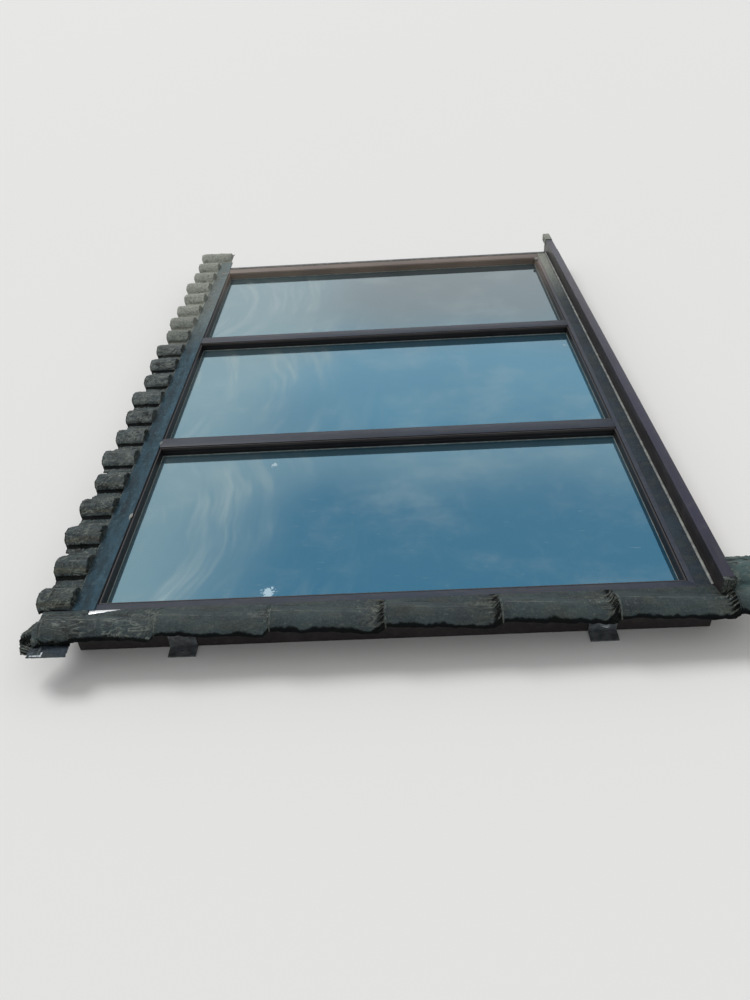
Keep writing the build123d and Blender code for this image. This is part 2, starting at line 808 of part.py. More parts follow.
def build_nodes():
    nodes = {}
    body = frame_outlines()
    for side in ("sill", "head", "near", "far"):
        name = side if side in ("sill", "head") else side + "_jamb"
        member = mitred(body, side, half_y, 0)
        places = bracket_screw_places() if "jamb" in name else cleat_screw_places()
        nodes["frame_" + name] = drill(member, places)
        nodes["cover_" + name] = mitred([cover_outline()], side, half_y, 0)
    nodes["corner_cleats"] = corner_cleats()
    for name, y in zip(pane_names, bar_centres):
        nodes["glazing_bar_" + name] = drill(glazing_bar(y), cleat_screw_places())
        nodes["bar_cap_" + name] = bar_cap(y)
    nodes["bar_cleats"] = bar_cleats()
    nodes["anchor_brackets"] = anchor_brackets()
    nodes["fixing_screws"] = fixing_screws()
    for i, (name, y) in enumerate(zip(pane_names, pane_centres)):
        sizes = (half_x, half_pane)
        spacer_in = spacer_width - glass_edge
        seat_in = shelf_reach - gasket_set_back
        top_in = sight_inset + gasket_set_back
        nodes["seat_gasket_" + name] = ring(
            *sizes, gasket_width - seat_in, seat_in, shelf_z, glass_low_z, y
        )
        glass = (half_x + glass_edge, half_pane + glass_edge)
        nodes["inner_glass_" + name] = box_between(
            (-glass[0], y - glass[1], glass_low_z), (glass[0], y + glass[1], glass_low_z + glass_sheet)
        )
        nodes["outer_glass_" + name] = box_between(
            (-glass[0], y - glass[1], glass_top_z - glass_sheet), (glass[0], y + glass[1], glass_top_z)
        )
        nodes["edge_spacer_" + name] = ring(
            *sizes, glass_edge, spacer_in, glass_low_z + glass_sheet, glass_top_z - glass_sheet, y
        )
        nodes["top_gasket_" + name] = ring(
            *sizes, gasket_width - top_in, top_in, glass_top_z, bead_low_z, y
        )
        near_cover = top_z if i == 0 else bar_top_z
        far_cover = top_z if i == pane_count - 1 else bar_top_z
        for side, cover_z in (("sill", top_z), ("head", top_z), ("near", near_cover), ("far", far_cover)):
            bead = mitred([bead_outline(cover_z)], side, half_pane, y)
            nodes["bead_" + name + "_" + side] = bead
    nodes["setting_blocks"] = setting_blocks()
    first = 1
    for name, last in zip(pane_names, apron_ends()):
        nodes["sill_apron_" + name] = apron(first, last - first + 1)
        first = last + 1
    nodes["near_side_flashing"] = near_side_flashing()
    nodes["head_flashing"] = head_flashing()
    nodes["head_batten"] = head_batten()
    nodes["head_end_cap"] = head_end_cap()
    nodes["head_near_cap"] = head_near_cap()
    nodes["head_tape"] = head_tape()
    nodes["far_soaker"] = far_soaker()
    nodes["mastic_far"] = mastic_far()
    nodes["mastic_head"] = mastic_head()
    nodes["bare_strip"] = bare_strip()
    nodes["far_corner_lead"] = far_corner_lead()
    nodes["head_corner_lead"] = head_corner_lead()
    nodes["corner_patch"] = corner_patch()
    return nodes


def main():
    os.makedirs("parts", exist_ok=True)
    nodes = build_nodes()
    for name, shape in nodes.items():
        export_step(shape, "parts/" + name + ".step")
    print(len(nodes), "nodes")


main()
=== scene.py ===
# %% [markdown]
# # A fixed roof skylight in dressed lead
# A skylight of this kind is a painted metal frame with three sealed panes. What makes it look real is
# what the roofer did around it: thin lead sheet, beaten over the tile rolls and crumpled at every step.
# The exact parts come from the CAD model. This lesson gives them their finishes, and replaces the flat
# CAD sheets by sheets with creases, laps and torn edges.

# %% Load the CAD model
import json
import math

import bmesh
import bpy
import numpy as np
from mathutils import Matrix, Vector


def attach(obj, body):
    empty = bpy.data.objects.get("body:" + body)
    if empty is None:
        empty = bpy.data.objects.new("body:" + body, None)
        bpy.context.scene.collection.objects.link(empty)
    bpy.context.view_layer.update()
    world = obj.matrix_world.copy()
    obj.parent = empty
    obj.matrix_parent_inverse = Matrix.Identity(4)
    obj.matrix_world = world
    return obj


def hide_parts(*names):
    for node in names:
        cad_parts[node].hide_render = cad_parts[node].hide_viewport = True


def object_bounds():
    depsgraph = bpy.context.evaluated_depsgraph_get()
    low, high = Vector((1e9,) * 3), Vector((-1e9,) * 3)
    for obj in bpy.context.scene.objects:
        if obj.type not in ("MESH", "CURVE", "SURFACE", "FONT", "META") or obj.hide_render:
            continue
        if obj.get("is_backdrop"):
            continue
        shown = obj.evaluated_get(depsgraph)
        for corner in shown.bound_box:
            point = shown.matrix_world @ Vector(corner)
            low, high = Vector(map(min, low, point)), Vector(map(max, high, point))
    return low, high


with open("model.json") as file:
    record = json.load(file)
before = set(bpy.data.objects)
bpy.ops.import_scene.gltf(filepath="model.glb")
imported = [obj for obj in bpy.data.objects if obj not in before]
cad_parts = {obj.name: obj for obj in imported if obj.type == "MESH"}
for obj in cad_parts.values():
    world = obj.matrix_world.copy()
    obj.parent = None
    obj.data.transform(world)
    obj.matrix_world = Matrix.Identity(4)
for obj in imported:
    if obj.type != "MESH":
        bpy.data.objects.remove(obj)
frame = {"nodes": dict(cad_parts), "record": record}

scene = bpy.context.scene
cad = frame["nodes"]
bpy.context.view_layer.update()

# %% [markdown]
# ## The camera
# The photographer stood beside the skylight and looked along the ridge, so up the slope is to the right.
# The three directions below were fitted to the corners of the frame. A camera looks along its own -Z, so
# the matrix takes right, up and backwards as its columns.


# %% Camera
def put(name, data):
    """A new object in the scene."""
    made = bpy.data.objects.new(name, data)
    scene.collection.objects.link(made)
    return made


SENSOR = 36.0
LENS = 28.4276
EYE = Vector((0.03777, -2.94041, 1.67650))
RIGHT = Vector((0.998610, -0.001845, -0.052669))
DOWN = Vector((-0.043323, -0.597810, -0.800466))
FORWARD = Vector((-0.030009, 0.801636, -0.597059))

lens = bpy.data.cameras.new("photo_lens")
lens.sensor_width = SENSOR
lens.lens = LENS
lens.clip_end = 400.0
camera = put("photo_camera", lens)
turn = Matrix((RIGHT, -DOWN, -FORWARD)).transposed()
camera.matrix_world = Matrix.Translation(EYE) @ turn.to_4x4()
scene.camera = camera
print("camera at", list(EYE))

# %% [markdown]
# ## Writing node trees as formulas
# Materials and Geometry Nodes are both trees of small steps. Adding each step by hand hides the idea, so
# this class lets a socket be used like a number: every + or * puts one Math node in the tree.


# %% Formulas in a node tree
class Value:
    """A socket of a node tree that can be used in a formula."""

    def __init__(self, tree, socket):
        self.tree, self.socket = tree, socket

    def step(self, operation, *others):
        made = self.tree.nodes.new("ShaderNodeMath")
        made.operation = operation
        for slot, item in zip(made.inputs, (self, *others)):
            plug(self.tree, slot, item)
        return Value(self.tree, made.outputs[0])

    def __add__(self, other):
        return self.step("ADD", other)

    def __sub__(self, other):
        return self.step("SUBTRACT", other)

    def __rsub__(self, other):
        return (self * -1.0).step("ADD", other)

    def __mul__(self, other):
        return self.step("MULTIPLY", other)

    def __truediv__(self, other):
        return self.step("DIVIDE", other)

    def __abs__(self):
        return self.step("ABSOLUTE")

    __radd__, __rmul__ = __add__, __mul__


# %% Nodes by name
def plug(tree, slot, item):
    """Links a formula to a socket, or sets the socket to a plain number or colour."""
    if isinstance(item, Value):
        tree.links.new(item.socket, slot)
    else:
        slot.default_value = item


def add(tree, kind, inputs=(), **settings):
    """One node, with its settings and its inputs by name or number."""
    made = tree.nodes.new(kind)
    for key, setting in settings.items():
        setattr(made, key, setting)
    for key, item in dict(inputs).items():
        plug(tree, made.inputs[key], item)
    return made


def out(made, key=0):
    return Value(made.id_data, made.outputs[key])


print("a formula such as a + b * 2 makes its own nodes")


# %% Curves and patterns
def smooth(value, low, high):
    """0 below low, 1 above high and an even turn between."""
    return out(add(value.tree, "ShaderNodeMapRange", {0: value, 1: low, 2: high},
                   interpolation_type="SMOOTHSTEP"))


def fades(value, low, high):
    """1 below low and 0 above high."""
    return 1.0 - smooth(value, low, high)


def highest(first, *others):
    for other in others:
        first = first.step("MAXIMUM", other)
    return first


def stretched(place, factors):
    return out(add(place.tree, "ShaderNodeVectorMath", {0: place, 1: factors}, operation="MULTIPLY"))


def noise(place, scale, detail=2.0, roughness=0.5, distortion=0.0):
    return out(add(place.tree, "ShaderNodeTexNoise", {
        "Vector": place, "Scale": scale, "Detail": detail, "Roughness": roughness,
        "Distortion": distortion}))


def patches(place, scale, low, high, detail=2.0, roughness=0.5, factors=None):
    """Soft patches of 1 on 0, cut from a noise that may be stretched."""
    if factors:
        place = stretched(place, factors)
    return smooth(noise(place, scale, detail, roughness), low, high)


def vector(tree, x, y, z):
    return out(add(tree, "ShaderNodeCombineXYZ", {0: x, 1: y, 2: z}))


def axes(place):
    made = add(place.tree, "ShaderNodeSeparateXYZ", {0: place})
    return [out(made, i) for i in range(3)]


print("patterns are cut from noises by smooth steps")

# %% [markdown]
# ## Light, backdrop and floor
# A plain studio: a pale world, stronger from above than from the sides, and one soft key lamp from above
# and from the far left. Crowns are light and the flanks that face the camera fall dark, as outdoors. The
# world looks white in the picture and in reflections, but lights the object only at a plain level.

# %% Studio
AMBIENT = 0.62
AMBIENT_LOW = 0.3
KEY_STRENGTH = 1.45
KEY_FROM = Vector((-0.45, 0.42, 0.8))
KEY_SOFTNESS = math.radians(24)
FLOOR_SIZE = 160.0
FLOOR_DROP = 0.001

scene.view_settings.view_transform = "Standard"
world = bpy.data.worlds.new("studio")
scene.world = world
world.use_nodes = True
sky = world.node_tree
seen = add(sky, "ShaderNodeLightPath")
direct = highest(*[out(seen, "Is %s Ray" % kind) for kind in ("Camera", "Glossy", "Transmission")])
backdrop = sky.nodes["Background"]
plug(sky, backdrop.inputs["Color"], (1, 1, 1, 1))
upward = axes(out(add(sky, "ShaderNodeTexCoord"), "Generated"))[2]
level = smooth(upward, -0.1, 0.7) * (AMBIENT - AMBIENT_LOW) + AMBIENT_LOW
plug(sky, backdrop.inputs["Strength"], level + direct * (1.0 - level))

key_lamp = bpy.data.lights.new("key", "SUN")
key_lamp.energy = KEY_STRENGTH
key_lamp.angle = KEY_SOFTNESS
key = put("key", key_lamp)
key.rotation_mode = "QUATERNION"
key.rotation_quaternion = KEY_FROM.to_track_quat("Z", "Y")

reach = FLOOR_SIZE / 2
corners = [(-reach, -reach), (reach, -reach), (reach, reach), (-reach, reach)]
floor_mesh = bpy.data.meshes.new("floor")
floor_mesh.from_pydata([(x, y, -FLOOR_DROP) for x, y in corners], [], [(0, 1, 2, 3)])
floor = put("floor", floor_mesh)
floor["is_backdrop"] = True
paper = bpy.data.materials.new("pale_paper")
paper.use_nodes = True
paper_sockets = paper.node_tree.nodes["Principled BSDF"].inputs
paper_sockets["Base Color"].default_value = (0.8, 0.8, 0.79, 1)
paper_sockets["Roughness"].default_value = 0.9
floor_mesh.materials.append(paper)
print("studio ready")

# %% [markdown]
# ## A start for every material
# Colours are read off as the usual 0 to 255 values and turned to the linear values that a shader wants.
# Each material reads Object coordinates: the parts sit at the origin, so the pattern is in metres and it
# stays on the part.


# %% Material helpers
def colour(red, green, blue):
    linear = [(c / 255 / 12.92) if c < 11 else ((c / 255 + 0.055) / 1.055) ** 2.4
              for c in (red, green, blue)]
    return (*linear, 1.0)


def start(name, **sockets):
    """A new material, its tree, its shader and the place on the object."""
    material = bpy.data.materials.new(name)
    material.use_nodes = True
    tree = material.node_tree
    shader = tree.nodes["Principled BSDF"]
    for key, item in sockets.items():
        shader.inputs[key.replace("_", " ")].default_value = item
    place = out(add(tree, "ShaderNodeTexCoord"), "Object")
    return material, tree, shader, place


def blend(share, first, second):
    """Mixes two colours; a plain one is given by its usual 0 to 255 values."""
    made = add(share.tree, "ShaderNodeMix", {0: share}, data_type="RGBA")
    for key, tone in ((6, first), (7, second)):
        plug(share.tree, made.inputs[key], tone if isinstance(tone, Value) else colour(*tone))
    return out(made, 2)


def layered(base, *layers):
    """Lays one colour over the other: each layer is a share and a colour."""
    for share, tone in layers:
        base = blend(share, base, tone)
    return base


def wire(shader, base, rough, height=None, strength=0.0, distance=0.0):
    """Gives the shader its colour and roughness and, where a height is given, a fine relief."""
    tree = shader.id_data
    plug(tree, shader.inputs["Base Color"], base)
    plug(tree, shader.inputs["Roughness"], rough)
    if height:
        bump = add(tree, "ShaderNodeBump", {"Height": height, "Strength": strength, "Distance": distance})
        plug(tree, shader.inputs["Normal"], out(bump))


# %% [markdown]
# ## Painted metal
# The frame, its covers and the folded kerb are metal with a brown stove enamel. Years outdoors leave it
# satin rather than glossy, a little chalky in patches, with dust in fine specks and faint runs along the
# metal. The upper rims of the beads are a lighter brown. Faces that look up get a painted sky reflection,
# a blue purple that the shader reads off the normal. The far side is paler brown with painted sunlight.


# %% Painted metal
DUST = (104, 98, 96)
SUNLIT_TONE = (146, 130, 118)
SUNNY_SIDE = (0.7, 1.35)
BEAD_RIM = (0.1122, 0.1142)


def painted(name, deep, pale, upper, dust_amount, dust=DUST, gloss=0.42, grain=(1.0, 1.0, 1.0), shine=0.24,
            sunlit=0.0, rim=None):
    material, tree, shader, place = start(name, Specular_IOR_Level=shine)
    cloud = patches(place, 3, 0.35, 0.68, 4)
    chalk = patches(place, 24, 0.5, 0.78, 6, 0.65) * dust_amount
    run = patches(place, 70, 0.46, 0.76, 4, 0.6, grain) * dust_amount
    speck = patches(place, 420, 0.66, 0.74, 1) * dust_amount
    # faces that look up get the colour upper as a painted sky reflection
    upward = smooth(axes(out(add(tree, "ShaderNodeNewGeometry"), "Normal"))[2], 0.55, 0.92)
    base = blend(cloud, deep, pale)
    if rim:
        base = blend(smooth(axes(place)[2], *BEAD_RIM) * (cloud * 0.3 + 0.6), base, rim)
    # painted sunlight on the far side
    sunny = smooth(axes(place)[1], *SUNNY_SIDE) * sunlit
    base = layered(
        base, (upward * (cloud * 0.35 + 0.65), upper), (sunny * (cloud * 0.3 + 0.7), SUNLIT_TONE),
        (highest(chalk, speck, run * 0.8), dust))
    rough = chalk * 0.35 + noise(place, 60, 3) * 0.14 + gloss - 0.07
    wire(shader, base, rough, noise(place, 900), 0.12, 0.0004)
    return material


finish = {
    "cover_paint": painted(
        "brown_cover_enamel", (38, 35, 37), (48, 45, 49), (40, 50, 64), 0.22,
        gloss=0.44, grain=(0.12, 1.0, 1.0), shine=0.22, sunlit=0.7),
    "frame_paint": painted(
        "brown_frame_enamel", (38, 35, 35), (46, 43, 43), (46, 44, 46), 0.2),
    "bead_paint": painted(
        "brown_bead_enamel", (17, 16, 17), (25, 23, 23), (70, 68, 70), 0.16,
        (70, 71, 72), 0.4, (0.1, 1.0, 1.0), 0.14, 0.8, (76, 68, 66)),
    "kerb_paint": painted(
        "brown_kerb_enamel", (34, 31, 31), (44, 40, 41), (48, 50, 68), 0.22,
        gloss=0.4, grain=(1.0, 0.1, 1.0)),
}
print("painted finishes", list(finish))

# %% [markdown]
# ## The panes
# The outer panes mirror the sky, so they look blue rather than clear. The blue, paler at the lower end and
# greyer at the far end, is a painted sky reflection: a tinted mirror share on a clear glass gives it from
# every side. Rain and an old cloth have left dust: pale veils that are stronger at the lower end, and long
# curved strokes where someone wiped.

# %% Glass
SKY_DEEP = (56, 120, 152)
SKY_MID = (88, 150, 178)
SKY_PALE = (140, 174, 184)
SKY_FAR = (124, 136, 138)
VEIL = (172, 190, 192)
SPLASH = (206, 220, 224)
GLASS_Z = 0.087
PANE_PITCH = 0.907
PANES_FROM = -1.5 * PANE_PITCH
WIPE_X = -1.418
SPLASHES = [(-0.359, -1.237, 0.022), (-0.405, -0.568, 0.014), (0.806, 0.285, 0.01)]


def disc(place, x, y, radius):
    """1 inside a ragged spot on the glass and 0 outside."""
    away = add(place.tree, "ShaderNodeVectorMath", {0: place, 1: (x, y, GLASS_Z)}, operation="DISTANCE")
    ragged = (noise(place, 90, 4, 0.7) - 0.5) * radius * 3.4
    return fades(out(away, "Value") + ragged, radius * 0.55, radius)


def wiped(place, x, y):
    """Broad and fine rings, broken up by noise; each pane has a middle of its own for them."""
    pane = ((y - PANES_FROM) / PANE_PITCH).step("FLOOR")
    from_middle = y - (pane - 1.0) * PANE_PITCH
    away = ((x - WIPE_X) * (x - WIPE_X) + from_middle * from_middle).step("SQRT")
    ring = away + (noise(place, 3.4) - 0.5) * 0.1
    broad = patches(vector(place.tree, ring * 11, x * 1.3, y * 1.3), 1, 0.45, 0.7, 3, 0.6)
    fine = patches(vector(place.tree, ring * 46, x * 2.6, y * 2.6), 1, 0.54, 0.8, 3, 0.6)
    reach = smooth(x * -1.0, -0.1, 0.55) * patches(place, 2.2, 0.3, 0.58)
    return (broad * 0.56 + fine * 0.24) * reach


def glass_material():
    material, tree, shader, place = start("sky_blue_glass", Metallic=0.62, IOR=1.52,
                                          Transmission_Weight=0.55)
    x, y, _ = axes(place)
    drift = noise(stretched(place, (1, 0.8, 1)), 1.5, 1) - 0.5
    far = smooth(y + drift * 0.9, -1.25, 1.25)
    low_end = smooth(x * -1.0 + y * 0.12 + drift * 0.42, 0.06, 0.74)
    upper_edge = smooth(y + drift * 0.5, -0.92, -0.5) * fades(y, -0.48, -0.42)
    film = patches(place, 5, 0.54, 0.84, 6, 0.7, (1, 0.35, 1)) * 0.2
    grit = patches(place, 520, 0.69, 0.76, 1) * patches(place, 6, 0.42, 0.66, 3) * 0.4
    scratch = patches(place, 1, 0.72, 0.78, 1, factors=(22, 120, 1)) * 0.22
    cloud = patches(place, 4.2, 0.46, 0.8, 5, 0.62, (0.8, 1, 1)) * 0.24
    dirt = highest(wiped(place, x, y), film, grit, scratch, cloud)
    splash = highest(*[disc(place, *spot) for spot in SPLASHES])
    # the SKY colours are a painted sky reflection; VEIL and SPLASH are dust
    base = layered(
        blend(smooth(far, 0.05, 0.6), SKY_DEEP, SKY_MID), (smooth(far, 0.55, 1.0) * 0.85, SKY_FAR),
        (low_end * 0.74, SKY_PALE), (upper_edge * 0.35, SKY_PALE), (dirt, VEIL), (splash * 0.46, SPLASH))
    wire(shader, base, dirt * 0.26 + splash * 0.4 + 0.04)
    return material


finish["glass"] = glass_material()
print("glass ready")

# %% [markdown]
# ## Small finishes
# Rubber, the pale seal, sealant, zinc plated steel, bare aluminium, packers and the batten each get a
# short material of their own.


# %% Small finishes
def plain(name, deep, pale, scale, rough, metal=0.0, bump=0.3, bump_scale=300.0, grain=(1, 1, 1)):
    material, tree, shader, place = start(name, Metallic=metal)
    place = stretched(place, grain)
    base = blend(patches(place, scale, 0.35, 0.7, 4, 0.6), deep, pale)
    rough = noise(place, scale * 2, 3) * 0.2 + rough - 0.1
    wire(shader, base, rough, noise(place, bump_scale, 3), bump, 0.0006)
    return material


finish |= {
    "gasket": plain("pale_seal", (118, 122, 118), (150, 152, 144), 40.0, 0.6),
    "spacer": plain("spacer_bar", (140, 142, 144), (170, 172, 174), 30.0, 0.35, 0.8),
    "mastic": plain("grey_mastic", (96, 100, 99), (142, 146, 140), 34.0, 0.55, 0.0, 0.6, 160.0),
    "steel": plain("zinc_plated_steel", (96, 100, 104), (132, 136, 138), 60.0, 0.42, 0.8),
    "bare_aluminium": plain("bare_aluminium", (206, 208, 210), (238, 240, 242), 26.0, 0.3, 0.55),
    "packer": plain("black_packer", (24, 24, 26), (36, 36, 38), 50.0, 0.6),
    "batten": plain("pine_batten", (150, 112, 70), (188, 148, 98), 14.0, 0.7, 0.0, 0.5, 90.0,
                    (6, 0.4, 6)),
}
print(len(finish), "finishes so far")

# %% [markdown]
# ## Weathered lead
# Lead starts bright, then turns a dull green grey. The ridges of its creases get a painted highlight, and
# the folds and the lower edges a painted shade. The mesh carries attributes that are made with the shape,
# so that the colour follows it: crease for ridges, hollow for folds, grime for dark edges that are
# painted shade with some dirt, tint for ochre bands, loose for how crumpled a place is, bare for bright
# metal, and strip for the slate blue tape that is laid flat on the sill. Marks that come back at every
# course of the side flashing, painted highlights and painted shade, are worked out from the course.


# %% Lead: lines and marks
GAUGE = 0.316
FIRST_NOSE = -0.96
SIDE_LIMIT_Y = (-1.35, -1.34)
SIDE_LIMIT_X = (0.925, 0.935)
GATHERS_Y = (-1.396, -1.384)
PALE_FOLD_Y = -1.384
DARK_FOLD_Y = -1.3735


def attribute(tree, name):
    return out(add(tree, "ShaderNodeAttribute", attribute_name=name), "Fac")


def wrinkles(place, scale, width, factors, twist):
    """Thin lines: they lie where a noise passes its middle value."""
    line = noise(stretched(place, factors), scale, 2, 0.5, twist)
    return fades(abs(line - 0.5), 0.0, width)


def course_marks(x, y, place):
    """Marks at every course of the side flashing: a painted highlight on the rim and on a pale fold line,
    and a dark fold line of painted shade.
    """
    share = ((x - FIRST_NOSE) / GAUGE).step("FRACT")
    to_rim = abs(share - 0.5) * -GAUGE + GAUGE / 2
    patchy = noise(stretched(place, (1, 2, 2)), 34, 3)
    wander = (noise(stretched(place, (1, 0, 0)), 12, 3) - 0.5) * 0.01
    rim = fades(to_rim, 0.0006, 0.003) * smooth(patchy, 0.34, 0.56)
    gathered = wrinkles(place, 44, 0.055, (1.5, 0.55, 0.55), 1.4)
    gathered = gathered * smooth(share, 0.6, 0.8) * smooth(y, *GATHERS_Y) * smooth(patchy, 0.4, 0.54)
    upper = fades(abs(y - PALE_FOLD_Y + wander), 0.0005, 0.0022)
    lower = fades(abs(y - DARK_FOLD_Y + wander), 0.0004, 0.0018)
    crest = highest(upper * fades(share, 0.3, 0.85) * smooth(patchy, 0.34, 0.56), gathered)
    groove = lower * smooth(share, 0.45, 0.7) * smooth(patchy, 0.42, 0.58)
    on_side = fades(y, *SIDE_LIMIT_Y) * fades(x, *SIDE_LIMIT_X)
    return rim * on_side, crest * on_side, groove * on_side


print("lead marks repeat every", GAUGE, "m from", FIRST_NOSE)

# %% Lead: the material
# Some colours here are painted light: NOSE_RIM a painted highlight, LEAD_FAR painted sunlight, and the pale
# flank colour a painted light on the near flanks.
NOSE_RIM = (126, 132, 124)
LEAD_OLIVE = (68, 72, 60)
LEAD_OCHRE = (96, 92, 74)
LEAD_FAR = (170, 174, 162)
LEAD_LIT_FLANK = (150, 160, 162)
LEAD_GREEN = (84, 112, 112)
BARE_METAL = (206, 216, 222)
FROM_SECOND_PANE = (-0.95, -0.35)
APRON_LIMIT_X = (-0.7, -0.6)
HEAD_CORNER_X = (0.93, 1.0)
STRIP_INNER_X = (-0.88, -0.856)


def lead_material(name, deep, pale, ridge, dirt, strip=None):
    material, tree, shader, place = start(name)
    x, y, _ = axes(place)
    crease, hollow, grime, tint, bare = [
        attribute(tree, label) for label in ("crease", "hollow", "grime", "tint", "bare")]
    mottle = noise(place, 95, 5, 0.7)
    # from the second pane on the flanks get a painted light, pale rather than ochre
    tint = tint * smooth(mottle, 0.34, 0.62)
    lit_flank = smooth(y, *FROM_SECOND_PANE) * fades(x, *APRON_LIMIT_X)
    base = layered(
        blend(patches(place, 9, 0.36, 0.66, 5, 0.6), deep, pale),
        (patches(place, 17, 0.46, 0.64, 3, factors=(0.7, 1.8, 1)) * 0.26, LEAD_OLIVE),
        (smooth(mottle, 0.52, 0.74) * 0.3, ridge),
        (tint * (1.0 - lit_flank * 0.8) * 0.7, LEAD_OCHRE),
        (lit_flank * (tint * 0.34 + smooth(mottle, 0.3, 0.66) * 0.14), LEAD_LIT_FLANK),
        (smooth(x, *HEAD_CORNER_X) * 0.5, LEAD_GREEN))
    fine = wrinkles(place, 62, 0.05, (1, 0.8, 1), 1.2)
    finer = wrinkles(place, 118, 0.06, (0.8, 1.2, 1), 1.8)
    # the far end gets painted sunlight and is paler
    sun = smooth(y - smooth(x, 0.0, 0.9) * 0.4, 0.22, 0.86) * (smooth(mottle, 0.32, 0.64) * 0.4 + 0.42)
    gleam = (1.0 - hollow * 0.6) * 0.27
    if strip:
        on_strip = attribute(tree, "strip")
        smear = patches(place, 34, 0.4, 0.66, 5, 0.65, (1, 0.22, 1))
        patchy = patches(place, 70, 0.48, 0.68, 5, 0.7, (1, 0.5, 1))
        tape = layered(
            blend(smear * 0.62 + smooth(x, *STRIP_INNER_X) * 0.38, strip[0], strip[1]),
            (patchy * smooth(mottle, 0.36, 0.6) * 0.42, strip[2]))
        base = blend(on_strip, base, tape)
        fine, finer = fine * (1.0 - on_strip * 0.75), finer * (1.0 - on_strip * 0.6)
        sun, gleam = sun * (1.0 - on_strip * 0.58), gleam * (1.0 - on_strip * 0.45)
    loose = smooth(attribute(tree, "loose"), 0.2, 0.9)
    bright = wrinkles(place, 27, 0.04, (0.4, 1.3, 1), 1.2) * patches(place, 19, 0.4, 0.56)
    split = wrinkles(place, 30, 0.052, (0.45, 1, 1), 1.4) * patches(place, 15, 0.44, 0.58)
    edge = smooth(grime + (mottle - 0.5) * 0.9, 0.35, 0.75)
    rim, crest, groove = course_marks(x, y, place)
    # painted shade in the dirt colour: hollows, split lines, dark edges and the groove; painted highlights
    # in the ridge colour and NOSE_RIM: creases, fine and bright lines, crest and rim; LEAD_FAR is painted
    # sunlight
    base = layered(
        base, (hollow * 0.7, dirt), (crease * smooth(mottle, 0.28, 0.56) * 0.8, ridge),
        (finer * 0.2, ridge), (bright * loose * 0.78, ridge), (split * loose * 0.9, dirt),
        (edge * 0.92, dirt), (groove * 0.85, dirt), (crest * 0.5, NOSE_RIM), (rim * 0.44, NOSE_RIM),
        (sun, LEAD_FAR), (bare, BARE_METAL))
    lines = fine * 0.8 + finer * 0.5 + noise(place, 210, 4, 0.6) * 0.8
    wire(shader, base, noise(place, 48, 3) * 0.2 + 0.46 - bare * 0.2, lines, 0.75, 0.0013)
    plug(tree, shader.inputs["Specular IOR Level"], gleam * (1.0 - edge * 0.9))
    return material


finish["lead_sheet"] = lead_material(
    "weathered_lead", (31, 43, 47), (46, 60, 64), (118, 126, 118), (10, 11, 12),
    ((13, 36, 46), (42, 76, 92), (84, 116, 128)))
finish["lead_tape"] = lead_material(
    "flashing_tape", (24, 36, 45), (36, 50, 61), (86, 98, 106), (12, 13, 15))
print("lead finishes ready")

# %% [markdown]
# ## Finishes on the CAD nodes
# The record names a material slot for each part of the CAD model, so one loop gives every part its finish.
# The parts that are redrawn below hand their slot on to the piece that stands for them.

# %% Finishes on the CAD nodes
slots = {row["node"]: row["material_slot"] for row in frame["record"]["subparts"]}
for name, node in cad.items():
    material = finish[slots[name]]
    if not node.data.materials:
        node.data.materials.append(material)
    for i in range(len(node.data.materials)):
        node.data.materials[i] = material
print("finishes on", len(slots), "nodes")

# %% [markdown]
# ## Sizes of the roof under the lead
# The lead takes its form from the tiles, so its shape is a rule: one roll every 147.5 mm along the ridge,
# and one step at every course up the slope. These are the CAD model's own sizes, in metres.

# %% Sizes
PITCH = 0.1475
ROLL_R = 0.05
FOOT_R = 0.012
LEAD = 0.0025
TOP_Z = 0.12
CROWN_Z = 0.144
VALLEY_Z = 0.114
NEAR_ROLL_Y = -1.418
NEAR_CROWN_Y = -1.39498
OUTER_X = 0.908
SIDE_END = 1.056
STRIP_EDGE_X = -0.8435
LEAD_EDGE_Y = -1.321
STRIP_START = -0.8572
STRIP_LENGTH = 0.092
FLAT = 0.0645
CLIMB = 0.03
TONGUE = 0.114
TONGUE_SWING = 0.009
SWING_TURN = 2.3
RISE = CROWN_Z - VALLEY_Z
SPREAD = math.sqrt(RISE * (2 * (ROLL_R + FOOT_R) - RISE))
ARC_END = (ROLL_R + LEAD) * math.sin(math.atan2(SPREAD, ROLL_R + FOOT_R - RISE))
print("roll spread", round(SPREAD, 4), "arc ends at", round(ARC_END, 4))

# %% [markdown]
# ## Geometry Nodes: a sheet dressed over the rolls
# The aprons are the main piece that follows a rule, so a tree makes them. It starts from a flat grid,
# lays the first rows on the sill, lifts the next rows up the blunt ends of the tiles, and lets the rest
# follow the rolls. Every size is a named input, so one tree makes five pieces.


# %% Helpers for Geometry Nodes
def new_tree(name, inputs, takes_geometry=False):
    """An empty tree whose inputs get their kind from the values that they start with."""
    kinds = {type(None): "Material", float: "Float", int: "Int", tuple: "Vector"}
    tree = bpy.data.node_groups.new(name, "GeometryNodeTree")
    face = tree.interface
    face.new_socket("Geometry", in_out="OUTPUT", socket_type="NodeSocketGeometry")
    if takes_geometry:
        face.new_socket("Geometry", in_out="INPUT", socket_type="NodeSocketGeometry")
    for label, value in {"Material": None, **inputs}.items():
        made = face.new_socket(label, in_out="INPUT", socket_type="NodeSocket" + kinds[type(value)])
        if value is not None:
            made.default_value = value
    way_in = tree.nodes.new("NodeGroupInput")
    return tree, {s.name: Value(tree, s) for s in way_in.outputs if s.name}


def close_tree(tree, geometry, material):
    """Ends a tree in Realize Instances and Set Material."""
    real = add(tree, "GeometryNodeRealizeInstances", {0: geometry})
    painted_on = add(tree, "GeometryNodeSetMaterial", {"Geometry": out(real), "Material": material})
    way_out = tree.nodes.new("NodeGroupOutput")
    tree.links.new(painted_on.outputs[0], way_out.inputs[0])


